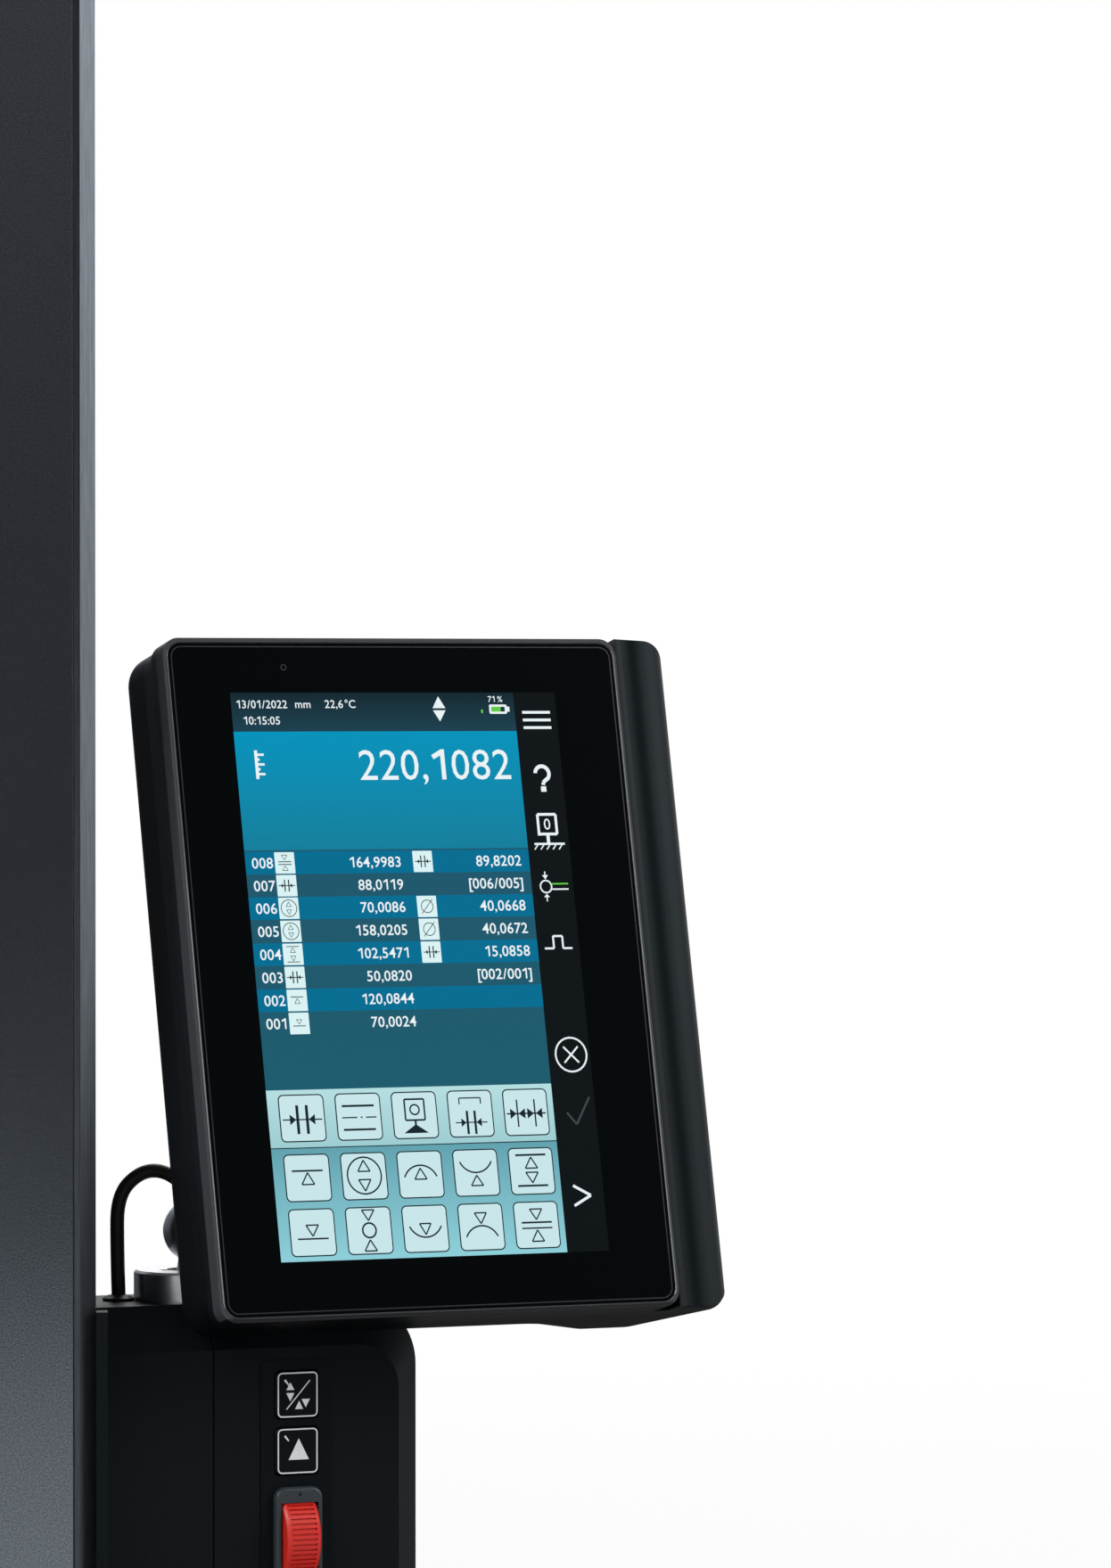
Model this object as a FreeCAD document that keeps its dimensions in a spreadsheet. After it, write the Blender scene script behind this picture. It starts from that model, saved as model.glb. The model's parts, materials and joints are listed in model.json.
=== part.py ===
import FreeCAD, Part
import math
import os
import re
import Sketcher

# Motor-driven height gauge, in millimetres. X points right, Y to the back, Z up.
# The origin lies on the base's ground underside, on the axis of the column.

Vector = FreeCAD.Vector
doc = FreeCAD.newDocument("height_gauge")

# Driving dimensions: alias, value, meaning
SIZES = [
    ("base_width", 230, "base, left to right"),
    ("base_front", 125, "base edge in front of the column axis"),
    ("base_back", 145, "base edge behind the column axis"),
    ("base_corner", 18, "base corner radius"),
    ("casting_height", 34, "cast base"),
    ("base_height", 62, "top of the base cover"),
    ("cover_wall", 3, "base cover wall"),
    ("cover_edge", 5, "base cover top edge radius"),
    ("cavity_floor", 14, "floor left under the cavities of the casting"),
    ("cavity_wall", 12, "casting wall round its rear cavity"),
    ("cavity_front", 58, "front of the rear cavity"),
    ("air_pocket_radius", 16, "air pocket in the underside"),
    ("air_pocket_depth", 0.6, "air pocket in the underside"),
    ("nozzle_radius", 3, "air nozzle"),
    ("nozzle_height", 12, "air nozzle"),
    ("column_width", 90, "column, left to right"),
    ("column_depth", 100, "column, front to back"),
    ("column_height", 738, "top of the column profile"),
    ("column_wall", 4, "column profile wall"),
    ("column_chamfer", 4, "column corner"),
    ("cap_height", 12, "column cap"),
    ("cap_edge", 3, "column cap edge radius"),
    ("panel_thickness", 3.5, "column panels"),
    ("panel_gap", 1.6, "groove beside the column panels"),
    ("slot_width", 24, "carriage slot in the column's left wall"),
    ("slot_low", 68, "carriage slot"),
    ("slot_drop", 146, "top of the carriage slot below the column top"),
    ("rail_x", 23, "guide rail centre"),
    ("rail_width", 18, "guide rail"),
    ("rail_depth", 20, "guide rail"),
    ("rail_drop", 83, "top of the guide rail below the column top"),
    ("scale_width", 10, "linear scale"),
    ("scale_thickness", 2, "linear scale"),
    ("scale_low", 74, "linear scale"),
    ("scale_drop", 104, "top of the linear scale below the column top"),
    ("bridge_thickness", 8, "top bridge"),
    ("pulley_radius", 25, "belt pulleys"),
    ("pulley_width", 10, "belt pulleys"),
    ("pulley_rim", 1.2, "pulley flange over the belt seat"),
    ("pulley_gap", 0.5, "pulley to its cheeks"),
    ("shaft_radius", 3, "pulley shafts"),
    ("running_gap", 0.05, "radial clearance of running fits"),
    ("cheek", 4, "bearing cheeks"),
    ("cheek_rise", 8, "bearing cheeks above the pulley axis"),
    ("cheek_half", 14, "bearing cheeks either side of the pulley axis"),
    ("drive_drop", 46, "drive pulley axis below the column top"),
    ("idler_z", 42, "idler pulley axis"),
    ("belt_width", 6, "belt"),
    ("belt_thickness", 1.2, "belt"),
    ("belt_gap", 0.35, "belt to pulley seat"),
    ("motor_radius", 18, "drive motor"),
    ("motor_length", 28, "drive motor"),
    ("weight_height", 220, "counterweight"),
    ("weight_left", -37, "counterweight"),
    ("weight_right", 38, "counterweight"),
    ("weight_near", 28.5, "counterweight front face"),
    ("weight_far", 42, "counterweight back face"),
    ("weight_drop", 58, "carriage and counterweight centre heights together, less than the column"),
    ("rod_radius", 2.5, "counterweight rods"),
    ("weight_rod_gap", 0.1, "radial clearance on the rods"),
    ("weight_rod_left", -20, "counterweight rod"),
    ("weight_rod_right", 28, "counterweight rod"),
    ("probe_reading", 220.1, "height of the probe ball at rest"),
    ("probe_below", 64.4, "probe ball below the carriage"),
    ("carriage_height", 160, "carriage sleeve"),
    ("sleeve_gap", 3, "rail to sleeve"),
    ("sleeve_wall", 4.5, "carriage sleeve wall"),
    ("shoe_gap", 0.05, "shoe to rail"),
    ("shoe_width", 10, "guide shoe"),
    ("shoe_height", 20, "guide shoe"),
    ("shoe_inset", 16, "guide shoe centre from the carriage end"),
    ("wing_inset", 10, "carriage wing from the carriage end"),
    ("wing_depth", 20, "carriage wing, front to back"),
    ("wing_frame", 12, "carriage wing round its openings"),
    ("belt_clamp_rise", 8, "solid middle of the carriage wing, above and below its centre"),
    ("plate_gap", 2, "carriage plate to column"),
    ("plate_thickness", 6, "carriage plate"),
    ("plate_depth", 64, "carriage plate, front to back"),
    ("clamp_depth", 5, "belt clamp around the belt"),
    ("clamp_gap", 0.45, "belt clamp to belt"),
    ("carriage_cover_depth", 26, "carriage cover, out from the plate"),
    ("carriage_cover_wall", 2.5, "carriage cover"),
    ("carriage_cover_edge", 6, "carriage cover edge radius"),
    ("guide_rod_radius", 3, "deflection rods"),
    ("guide_rod_y", 17.5, "deflection rod from the middle"),
    ("guide_rod_out", 12, "deflection rod from the plate"),
    ("lug_height", 8, "rod lugs"),
    ("rod_inset", 14, "rod lug centre from the carriage plate end"),
    ("slide_height", 80, "probe slide"),
    ("slide_depth", 48, "probe slide, front to back"),
    ("slide_thickness", 14, "probe slide"),
    ("arm_depth", 20, "probe arm, front to back"),
    ("arm_gap", 1.5, "probe arm to the cover's opening"),
    ("arm_foot", 4.6, "probe arm below the stem axis"),
    ("stem_radius", 3, "probe stem"),
    ("stem_tip_radius", 1.6, "probe stem at the ball"),
    ("stem_length", 52, "probe stem outside the arm"),
    ("ball_radius", 5, "probe ball"),
    ("screw_rise", 11, "clamp screw above the stem axis"),
    ("screw_radius", 2.5, "clamp screw"),
    ("screw_head_radius", 7, "clamp screw head"),
    ("screw_head", 10, "clamp screw head"),
    ("split_gap", 1, "slot of the probe clamp"),
    ("handle_yaw", 21, "handle turned to the right, degrees"),
    ("handle_y", -44, "front face of the handle at the column"),
    ("handle_width", 94.4, "handle, along its front"),
    ("handle_flat", 86.1, "right edge of the flat front face"),
    ("handle_depth", 44, "handle, front to back"),
    ("handle_top", 230, "top of the handle"),
    ("handle_flat_top", 218.4, "top edge of the flat front face"),
    ("handle_bevel", 7.6, "depth of the front bevel"),
    ("handle_corner", 18, "outer corner radius of the handle"),
    ("flat_corner", 11.8, "corner radius of the flat front face"),
    ("handle_split", 24, "front shell depth"),
    ("handle_seam", 33.3, "joint between bracket and grip"),
    ("flange_reach", 6.5, "bracket flange in front of the handle's corner"),
    ("flange_width", 3, "bracket flange, out from the column's side"),
    ("seam_gap", 0.4, "joint between bracket and grip"),
    ("handle_wall", 3, "grip shell wall"),
    ("rear_edge", 8, "rear edge radius of the grip"),
    ("trough_radius", 34, "finger trough at the back of the grip"),
    ("trough_depth", 6, "finger trough at the back of the grip"),
    ("strip_centre", 56.6, "keypad centre along the handle"),
    ("strip_width", 20.4, "keypad"),
    ("strip_height", 93.6, "keypad"),
    ("strip_thickness", 1.2, "keypad"),
    ("strip_proud", 0.3, "keypad in front of the handle face"),
    ("strip_corner", 2, "keypad corner"),
    ("wheel_z", 168.2, "thumbwheel axis height"),
    ("key_width", 12.4, "keys"),
    ("key_height", 12.6, "keys"),
    ("key_corner", 1.6, "key corner"),
    ("key_near", 22.9, "inner keys from the wheel"),
    ("key_far", 37.7, "outer keys from the wheel"),
    ("key_proud", 0.9, "key in front of the handle face"),
    ("key_gap", 0.25, "key to its hole"),
    ("key_edge", 0.4, "key edge bevel"),
    ("key_depth", 4.5, "key stem behind the handle face"),
    ("bezel_width", 13.4, "wheel bezel"),
    ("bezel_height", 27, "wheel bezel"),
    ("bezel_corner", 3, "wheel bezel corner"),
    ("bezel_proud", 2.5, "wheel bezel in front of the handle face"),
    ("pilot_radius", 0.5, "pilot mark above the wheel window"),
    ("pilot_depth", 0.5, "pilot mark above the wheel window"),
    ("window_width", 10.6, "wheel window"),
    ("window_height", 18.4, "wheel window"),
    ("wheel_radius", 13, "thumbwheel"),
    ("wheel_width", 9.6, "thumbwheel"),
    ("wheel_set_back", 7, "thumbwheel axis behind the handle face"),
    ("wheel_rib_depth", 0.5, "thumbwheel groove"),
    ("wheel_rim", 1.2, "smooth rim of the thumbwheel"),
    ("wheel_ribs", 60, "thumbwheel grooves"),
    ("wheel_shaft", 2, "thumbwheel shaft radius"),
    ("cradle_gap", 0.4, "thumbwheel to its cradle"),
    ("cradle_wall", 2, "thumbwheel cradle"),
    ("board_thickness", 1.6, "circuit boards"),
    ("button_width", 18, "air-cushion button"),
    ("button_height", 40, "air-cushion button"),
    ("button_proud", 3, "air-cushion button"),
    ("button_gap", 0.4, "air-cushion button to its hole"),
    ("swivel_u", 37, "swivel axis along the handle"),
    ("swivel_w", 22, "swivel axis behind the handle front"),
    ("boss_radius", 16.2, "swivel boss"),
    ("boss_height", 8, "swivel boss"),
    ("boss_edge", 0.6, "swivel boss edge"),
    ("boss_recess_radius", 7.5, "recess in the top of the boss"),
    ("boss_recess", 1.6, "recess in the top of the boss"),
    ("stud_radius", 5, "ball stud in the boss"),
    ("knuckle_radius", 8.5, "ball of the ball stud"),
    ("knuckle_rise", 10.3, "ball centre above the boss"),
    ("tilt_pin_radius", 2, "tilt pin"),
    ("tilt_pin_depth", 3.5, "tilt pin past the ball centre"),
    ("tilt_pin_length", 32, "tilt pin"),
    ("grommet_u", 16.8, "cable exit along the handle"),
    ("grommet_w", 26, "cable exit behind the handle front"),
    ("grommet_radius", 4.2, "grommet flange"),
    ("grommet_height", 1.6, "grommet flange"),
    ("cable_radius", 1.85, "display cable"),
    ("display_tilt", 13, "display leaning back, degrees"),
    ("case_left", 13.8, "case edge left of the ball centre"),
    ("case_below", 31.4, "case edge below the ball centre"),
    ("case_front", 45.3, "glass in front of the ball centre"),
    ("case_width", 151, "display case"),
    ("case_height", 181.5, "display case"),
    ("case_depth", 31, "display case behind its front plane"),
    ("case_edge", 7, "display case rear edge radius"),
    ("nose_edge", 5, "radius of the grip's nose"),
    ("case_wall", 2.5, "display case wall"),
    ("case_end_edge", 8, "display case top and bottom rear edge radius"),
    ("frame_depth", 8.3, "display front frame"),
    ("frame_lip", 1, "front frame left of the glass, above it and below it"),
    ("frame_rim", 0.6, "front frame right of the glass"),
    ("grip_width", 19.4, "grip right of the front frame"),
    ("grip_start", 53, "start of the rear bulge from the right side"),
    ("grip_shoulder", 33, "rear bulge at full depth, from the right side"),
    ("grip_depth", 46, "rear bulge depth"),
    ("grip_back", 12, "right end of the bulge's back from the right side"),
    ("nose_start", 3.3, "nose of the grip behind the glass"),
    ("nose_end", 14, "end of the nose behind the glass"),
    ("nose_width", 4, "nose of the grip, left to right"),
    ("grip_round", 9, "rounding of the grip"),
    ("glass_thickness", 1.6, "cover glass"),
    ("glass_corner", 4.7, "cover glass corner"),
    ("lcd_left", 15.1, "LCD edge from the glass edge"),
    ("lcd_right", 17.3, "LCD edge from the glass edge"),
    ("lcd_bottom", 12.4, "LCD edge from the glass edge"),
    ("lcd_top", 11.9, "LCD edge from the glass edge"),
    ("lcd_thickness", 4, "LCD panel"),
    ("board_inset", 20, "display board from the case's left side"),
    ("board_end", 41, "display board from the case's right side"),
    ("board_margin", 30, "display board from the case's top and bottom"),
    ("board_rise", 6, "display board behind the front frame"),
    ("post_radius", 2.5, "board posts"),
    ("hinge_arm", 14, "hinge bracket arm, along the pin"),
    ("hinge_gap", 0.5, "hinge bracket to ball"),
    ("hinge_eye", 6.5, "hinge bracket eye radius"),
    ("hinge_foot", 11.5, "hinge bracket foot below the pin"),
    ("gland_start", 12, "cable gland right of the ball centre"),
    ("gland_length", 14, "cable gland"),
    ("gland_radius", 3, "cable gland"),
    ("gland_rise", 7.1, "cable gland above the ball centre"),
    ("gland_back", 3, "cable gland axis behind the case's back"),
    ("cable_seat", 0.05, "cable end to gland"),
    ("hinge_lip", 2.5, "top of the hinge bracket foot above the pin"),
]

sheet = doc.addObject("Spreadsheet::Sheet", "Sizes")
names = [row[0] for row in SIZES]
for index, (alias, value, meaning) in enumerate(SIZES, start=1):
    sheet.set(f"A{index}", alias)
    sheet.set(f"B{index}", str(value))
    sheet.set(f"C{index}", meaning)
    sheet.setAlias(f"B{index}", alias)
doc.recompute()


# Sketching and feature helpers
def bound(text):
    """An expression in which each size is led back to its cell."""
    text = str(text)
    return re.sub(r"[a-z][a-z_]+", lambda w: "Sizes." + w[0] if w[0] in names else w[0], text)


def size(text):
    """The present value of an expression."""
    return float(sheet.evalExpression(bound(text)))


def box(x0, x1, y0, y1):
    """A rectangle between four limits."""
    return [(x0, y0), (x1, y0), (x1, y1), (x0, y1)]


def rounded(x0, x1, y0, y1, r):
    """A rectangle with round corners. A third entry is the radius of the arc to the next point."""
    return [
        (f"({x0})+({r})", y0),
        (f"({x1})-({r})", y0, r),
        (x1, f"({y0})+({r})"),
        (x1, f"({y1})-({r})", r),
        (f"({x1})-({r})", y1),
        (f"({x0})+({r})", y1, r),
        (x0, f"({y1})-({r})"),
        (x0, f"({y0})+({r})", r),
    ]


def bevelled(x, y, c):
    """A rectangle about the origin with cut corners."""
    return [
        (f"-({x})+({c})", f"-({y})"), (f"({x})-({c})", f"-({y})"),
        (x, f"-({y})+({c})"), (x, f"({y})-({c})"),
        (f"({x})-({c})", y), (f"-({x})+({c})", y),
        (f"-({x})", f"({y})-({c})"), (f"-({x})", f"-({y})+({c})"),
    ]


def disc(x, y, r):
    """A circle."""
    return ("disc", x, y, r)


def body(name):
    """A new empty body."""
    made = doc.addObject("PartDesign::Body", name)
    made.Label = name
    made.AllowCompound = True
    return made


def origin(owner, role):
    """A plane or an axis of the body's own origin."""
    return [part for part in owner.Origin.OriginFeatures if part.Role == role][0]


def fix_point(sketch, geometry, point, x, y):
    """Hold a point of the sketch at two bound coordinates."""
    across = sketch.addConstraint(Sketcher.Constraint("DistanceX", -1, 1, geometry, point, size(x)))
    up = sketch.addConstraint(Sketcher.Constraint("DistanceY", -1, 1, geometry, point, size(y)))
    sketch.setExpression(f"Constraints[{across}]", bound(x))
    sketch.setExpression(f"Constraints[{up}]", bound(y))


def fix_radius(sketch, geometry, r):
    """Hold the radius of a circle or an arc."""
    held = sketch.addConstraint(Sketcher.Constraint("Radius", geometry, size(r)))
    sketch.setExpression(f"Constraints[{held}]", bound(r))


def arc_between(start, end, radius):
    """The short arc that turns left from start to end, or right where the radius is negative."""
    chord = end - start
    middle = (start + end) * 0.5
    reach = math.sqrt(max(0.0, radius * radius - chord.Length * chord.Length / 4))
    left = Vector(-chord.y, chord.x, 0).normalize()
    centre = middle + left * (reach if radius > 0 else -reach)
    first, last = (start, end) if radius > 0 else (end, start)
    circle = Part.Circle(centre, Vector(0, 0, 1), abs(radius))
    return Part.ArcOfCircle(circle, circle.parameter(first), circle.parameter(last))


def draw_outline(sketch, outline):
    """A closed line of straight and round stretches, every corner bound to the sheet."""
    corners = [Vector(size(p[0]), size(p[1]), 0) for p in outline]
    ends = []
    for here, point in enumerate(outline):
        after = (here + 1) % len(outline)
        if len(point) == 3:
            radius = size(point[2])
            number = sketch.addGeometry(arc_between(corners[here], corners[after], radius), False)
            ends.append((number, 1, 2) if radius > 0 else (number, 2, 1))
        else:
            number = sketch.addGeometry(Part.LineSegment(corners[here], corners[after]), False)
            ends.append((number, 1, 2))
    for here, point in enumerate(outline):
        number, first, last = ends[here]
        following = ends[(here + 1) % len(outline)]
        fix_point(sketch, number, first, point[0], point[1])
        sketch.addConstraint(Sketcher.Constraint("Coincident", number, last, following[0], following[1]))
        if len(point) == 3:
            fix_radius(sketch, number, f"abs({point[2]})")


def sketch_on(owner, plane, at, shapes):
    """A sketch on one of the body's planes, moved along the plane's normal."""
    sketch = owner.newObject("Sketcher::SketchObject", owner.Name + "_sketch")
    sketch.AttachmentSupport = (origin(owner, plane + "_Plane"), [""])
    sketch.MapMode = "FlatFace"
    sketch.setExpression("AttachmentOffset.Base.z", bound(at))
    for shape in shapes:
        if isinstance(shape, tuple):
            centre = Vector(size(shape[1]), size(shape[2]), 0)
            circle = Part.Circle(centre, Vector(0, 0, 1), size(shape[3]))
            number = sketch.addGeometry(circle, False)
            fix_point(sketch, number, 3, shape[1], shape[2])
            fix_radius(sketch, number, shape[3])
        else:
            draw_outline(sketch, shape)
    return sketch


def between(owner, kind, plane, start, end, shapes):
    """A pad or a pocket that fills one span of the axis that the plane faces."""
    base = f"-({end})" if plane == "XZ" else start
    sketch = sketch_on(owner, plane, base, shapes)
    feature = owner.newObject("PartDesign::" + kind, owner.Name + "_" + kind.lower())
    feature.Profile = sketch
    feature.setExpression("Length", bound(f"({end})-({start})"))
    if kind == "Pocket":
        feature.Reversed = True
    return feature


def pad(owner, plane, start, end, *shapes):
    """Material between two heights over a plane."""
    return between(owner, "Pad", plane, start, end, shapes)


def cut(owner, plane, start, end, *shapes):
    """A pocket between two heights over a plane, checked to remove something."""
    doc.recompute()
    before = owner.Shape.Volume
    feature = between(owner, "Pocket", plane, start, end, shapes)
    doc.recompute()
    if owner.Shape.Volume > before - 1e-6:
        raise ValueError(f"{feature.Name} removes nothing")
    return feature


def turn(owner, kind, outline, axis="X_Axis", plane="XY"):
    """A revolved outline, added or taken away."""
    sketch = sketch_on(owner, plane, "0", [outline])
    feature = owner.newObject("PartDesign::" + kind, owner.Name + "_" + kind.lower())
    feature.Profile = sketch
    feature.ReferenceAxis = (origin(owner, axis), [""])
    feature.Angle = 360
    return feature


def local_edges(owner, test):
    """Names of the edges of the body's last feature that pass a test, in the body's own axes."""
    doc.recompute()
    found = [f"Edge{i}" for i, edge in enumerate(owner.Tip.Shape.Edges, start=1) if test(edge)]
    if not found:
        raise ValueError(f"no edge found on {owner.Name}")
    return found


def fillet(owner, radius, test):
    """Round the edges that pass a test."""
    found = local_edges(owner, test)
    feature = owner.newObject("PartDesign::Fillet", owner.Name + "_fillet")
    feature.Base = (owner.Tip if owner.Tip is not feature else feature.BaseFeature, found)
    feature.setExpression("Radius", bound(radius))
    return feature


def chamfer(owner, length, test):
    """Bevel the edges that pass a test."""
    found = local_edges(owner, test)
    feature = owner.newObject("PartDesign::Chamfer", owner.Name + "_chamfer")
    feature.Base = (owner.Tip if owner.Tip is not feature else feature.BaseFeature, found)
    feature.setExpression("Size", bound(length))
    return feature


def near(value, text):
    """Whether a number agrees with an expression."""
    return abs(value - size(text)) < 1e-4


def flat_at(edge, axis, text):
    """Whether an edge lies wholly at one level of an axis."""
    low, high = getattr(edge.BoundBox, axis + "Min"), getattr(edge.BoundBox, axis + "Max")
    return near(low, text) and near(high, text)


def along(edge, axis):
    """Whether a straight edge runs along an axis."""
    if edge.Curve.TypeId != "Part::GeomLine":
        return False
    return abs(getattr(edge.Curve.Direction, axis)) > 0.9999


def standing_at(edge, x, y):
    """Whether an upright edge stands at one place."""
    middle = edge.BoundBox.Center
    return along(edge, "z") and near(middle.x, x) and near(middle.y, y)


def polar(owner, feature, axis, count):
    """Repeat a feature round an axis."""
    pattern = owner.newObject("PartDesign::PolarPattern", owner.Name + "_pattern")
    pattern.Originals = [feature]
    pattern.Axis = (origin(owner, axis), [""])
    pattern.Angle = 360
    pattern.setExpression("Occurrences", bound(count))
    owner.Tip = pattern
    return pattern


def row(owner, feature, axis, length, count):
    """Repeat a feature along an axis."""
    pattern = owner.newObject("PartDesign::LinearPattern", owner.Name + "_row")
    pattern.Originals = [feature]
    pattern.Direction = (origin(owner, axis), [""])
    pattern.setExpression("Length", bound(length))
    pattern.setExpression("Occurrences", bound(count))
    owner.Tip = pattern
    return pattern


def place(owner, x, y, z):
    """Stand a body at bound coordinates."""
    for axis, text in (("x", x), ("y", y), ("z", z)):
        owner.setExpression("Placement.Base." + axis, bound(text))


# Frames of the handle and of the display, from the same sizes
def handle_frame(u="0", w="0", z="0"):
    """Along the handle's front, back from it, and up."""
    turned = FreeCAD.Rotation(Vector(0, 0, 1), size("handle_yaw"))
    corner = Vector(size("column_width/2"), size("handle_y"), 0)
    return FreeCAD.Placement(corner + turned.multVec(Vector(size(u), size(w), size(z))), turned)


KNUCKLE_Z = "handle_top+boss_height+knuckle_rise"


def display_frame():
    """About the ball centre: right along the glass, back from it, and up along it."""
    ball = handle_frame("swivel_u", "swivel_w", KNUCKLE_Z)
    lean = FreeCAD.Placement(Vector(0, 0, 0), FreeCAD.Rotation(Vector(1, 0, 0), -size("display_tilt")))
    return ball.multiply(lean)


LEFT = "(-column_width/2)"
RIGHT = "(base_width-column_width/2)"
FRONT = "-base_front"
BACK = "base_back"
COLUMN_X = "column_width/2"
COLUMN_Y = "column_depth/2"
INSIDE_X = "column_width/2-column_wall"
INSIDE_Y = "column_depth/2-panel_thickness-column_wall+0.5"


# Base: a cast foot with a ground underside, under a painted cover
casting = body("base_casting")
pad(casting, "XY", "0", "casting_height", rounded(LEFT, RIGHT, FRONT, BACK, "base_corner"))
cut(casting, "XY", "cavity_floor", "casting_height",
    rounded(f"{LEFT}+cavity_wall", f"{RIGHT}-cavity_wall", "cavity_front", f"{BACK}-cavity_wall", "6"))
cut(casting, "XY", "idler_z-pulley_radius-pulley_rim-1.5", "casting_height",
    box("-(pulley_width/2+1)", "pulley_width/2+1", "-(pulley_radius+4)", "pulley_radius+4"))
CHEEK_IN = "pulley_width/2+pulley_gap"
CHEEK_OUT = "pulley_width/2+pulley_gap+cheek"
CHEEK = box("-cheek_half", "cheek_half", "casting_height", "idler_z+cheek_rise")
pad(casting, "YZ", CHEEK_IN, CHEEK_OUT, CHEEK)
pad(casting, "YZ", f"-({CHEEK_OUT})", f"-({CHEEK_IN})", CHEEK)
cut(casting, "YZ", f"-({CHEEK_OUT})", CHEEK_OUT, disc("0", "idler_z", "shaft_radius+running_gap"))
NOZZLES = [(f"{LEFT}+28", f"{FRONT}+30"), (f"{RIGHT}-30", f"{FRONT}+30"), (f"{RIGHT}/2", f"{BACK}-34")]
cut(casting, "XY", "0", "air_pocket_depth", *[disc(x, y, "air_pocket_radius") for x, y in NOZZLES])
cut(casting, "XY", "air_pocket_depth", "nozzle_height", *[disc(x, y, "nozzle_radius") for x, y in NOZZLES])
chamfer(casting, "1", lambda e: flat_at(e, "Z", "0") and e.Curve.TypeId == "Part::GeomLine")

nozzles = body("air_nozzles")
pad(nozzles, "XY", "air_pocket_depth", "nozzle_height-4", *[disc(x, y, "nozzle_radius") for x, y in NOZZLES])

cover = body("base_cover")
pad(cover, "XY", "casting_height", "base_height", rounded(LEFT, RIGHT, FRONT, BACK, "base_corner"))
fillet(cover, "cover_edge", lambda e: flat_at(e, "Z", "base_height"))
cut(cover, "XY", "casting_height", "base_height-cover_wall",
    rounded(f"{LEFT}+cover_wall", f"{RIGHT}-cover_wall", f"{FRONT}+cover_wall", f"{BACK}-cover_wall",
            "base_corner-cover_wall"))
cut(cover, "XY", "casting_height", "base_height",
    box(f"{LEFT}-1", COLUMN_X, f"-{COLUMN_Y}", COLUMN_Y))
BATTERY_DOOR = ("80", "160", "casting_height+4", "base_height-6")
SOCKETS = ("-24", "52", "casting_height+4", "base_height-6")
cut(cover, "XZ", f"{BACK}-cover_wall", BACK, box(*BATTERY_DOOR), box(*SOCKETS))

door = body("battery_cover")
pad(door, "XZ", f"{BACK}-cover_wall", BACK, box(*BATTERY_DOOR))
cut(door, "XZ", f"{BACK}-1.2", BACK, rounded("112", "128", "base_height-12", "base_height-8", "1.5"))

battery = body("battery_pack")
pad(battery, "XY", "cavity_floor", "base_height-cover_wall-4",
    rounded(f"{RIGHT}-cavity_wall-94", f"{RIGHT}-cavity_wall-2", "cavity_front+4", f"{BACK}-cavity_wall-2",
            "5"))

pump = body("air_pump")
pad(pump, "YZ", "-28", "22", disc("(cavity_front+base_back-cavity_wall)/2", "cavity_floor+19", "19"))
pad(pump, "YZ", "22", "48",
    rounded("(cavity_front+base_back-cavity_wall)/2-16", "(cavity_front+base_back-cavity_wall)/2+16",
            "cavity_floor", "cavity_floor+36", "3"))

board = body("main_board")
pad(board, "XY", "casting_height+6", "casting_height+6+board_thickness",
    box("64", f"{RIGHT}-12", f"{FRONT}+14", "30"))
pad(board, "XY", "casting_height", "casting_height+6",
    *[disc(x, y, "2.5") for x in ("70", f"{RIGHT}-18") for y in (f"{FRONT}+20", "24")])
pad(board, "XY", "casting_height+6+board_thickness", "casting_height+9+board_thickness",
    box("80", "104", "-60", "-36"), box("120", "136", "-90", "-60"), box("116", "150", "-30", "0"))

sockets = body("socket_panel")
pad(sockets, "XZ", f"{BACK}-cover_wall", BACK, box(*SOCKETS))
SOCKET_Z = "(casting_height+base_height-2)/2"
cut(sockets, "XZ", f"{BACK}-cover_wall", BACK,
    disc("-10", SOCKET_Z, "5"), rounded("4", "18", f"{SOCKET_Z}-3.5", f"{SOCKET_Z}+3.5", "1"),
    disc("38", SOCKET_Z, "6"))

outlets = body("rear_sockets")
pad(outlets, "XZ", f"{BACK}-14", f"{BACK}-0.4",
    disc("-10", SOCKET_Z, "5"), rounded("4", "18", f"{SOCKET_Z}-3.5", f"{SOCKET_Z}+3.5", "1"))
cut(outlets, "XZ", f"{BACK}-4", f"{BACK}-0.4",
    disc("-10", SOCKET_Z, "3.4"), box("5.5", "16.5", f"{SOCKET_Z}-2.4", f"{SOCKET_Z}+2.4"))
pad(outlets, "XZ", f"{BACK}-4.5", f"{BACK}-1",
    disc("-10", SOCKET_Z, "1"), box("7", "15", f"{SOCKET_Z}-0.2", f"{SOCKET_Z}+1.2"))

power = body("power_button")
pad(power, "XZ", f"{BACK}-8", f"{BACK}+2", disc("38", SOCKET_Z, "5.6"))
chamfer(power, "0.8", lambda e: flat_at(e, "Y", f"{BACK}+2"))

# Column: an extruded profile with inset panels, a slot on its left and a cap
profile = body("column_profile")
pad(profile, "XY", "casting_height", "column_height",
    bevelled(COLUMN_X, COLUMN_Y, "column_chamfer"),
    box(f"-({INSIDE_X})", INSIDE_X, f"-({INSIDE_Y})", INSIDE_Y))
PANEL = "column_width/2-column_chamfer"
cut(profile, "XY", "casting_height", "column_height",
    box(f"-({PANEL})", PANEL, f"-{COLUMN_Y}", f"-{COLUMN_Y}+panel_thickness"),
    box(f"-({PANEL})", PANEL, f"{COLUMN_Y}-panel_thickness", COLUMN_Y))
cut(profile, "YZ", LEFT, f"-({INSIDE_X})",
    rounded("-slot_width/2", "slot_width/2", "slot_low", "column_height-slot_drop", "slot_width/2-1"))

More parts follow.
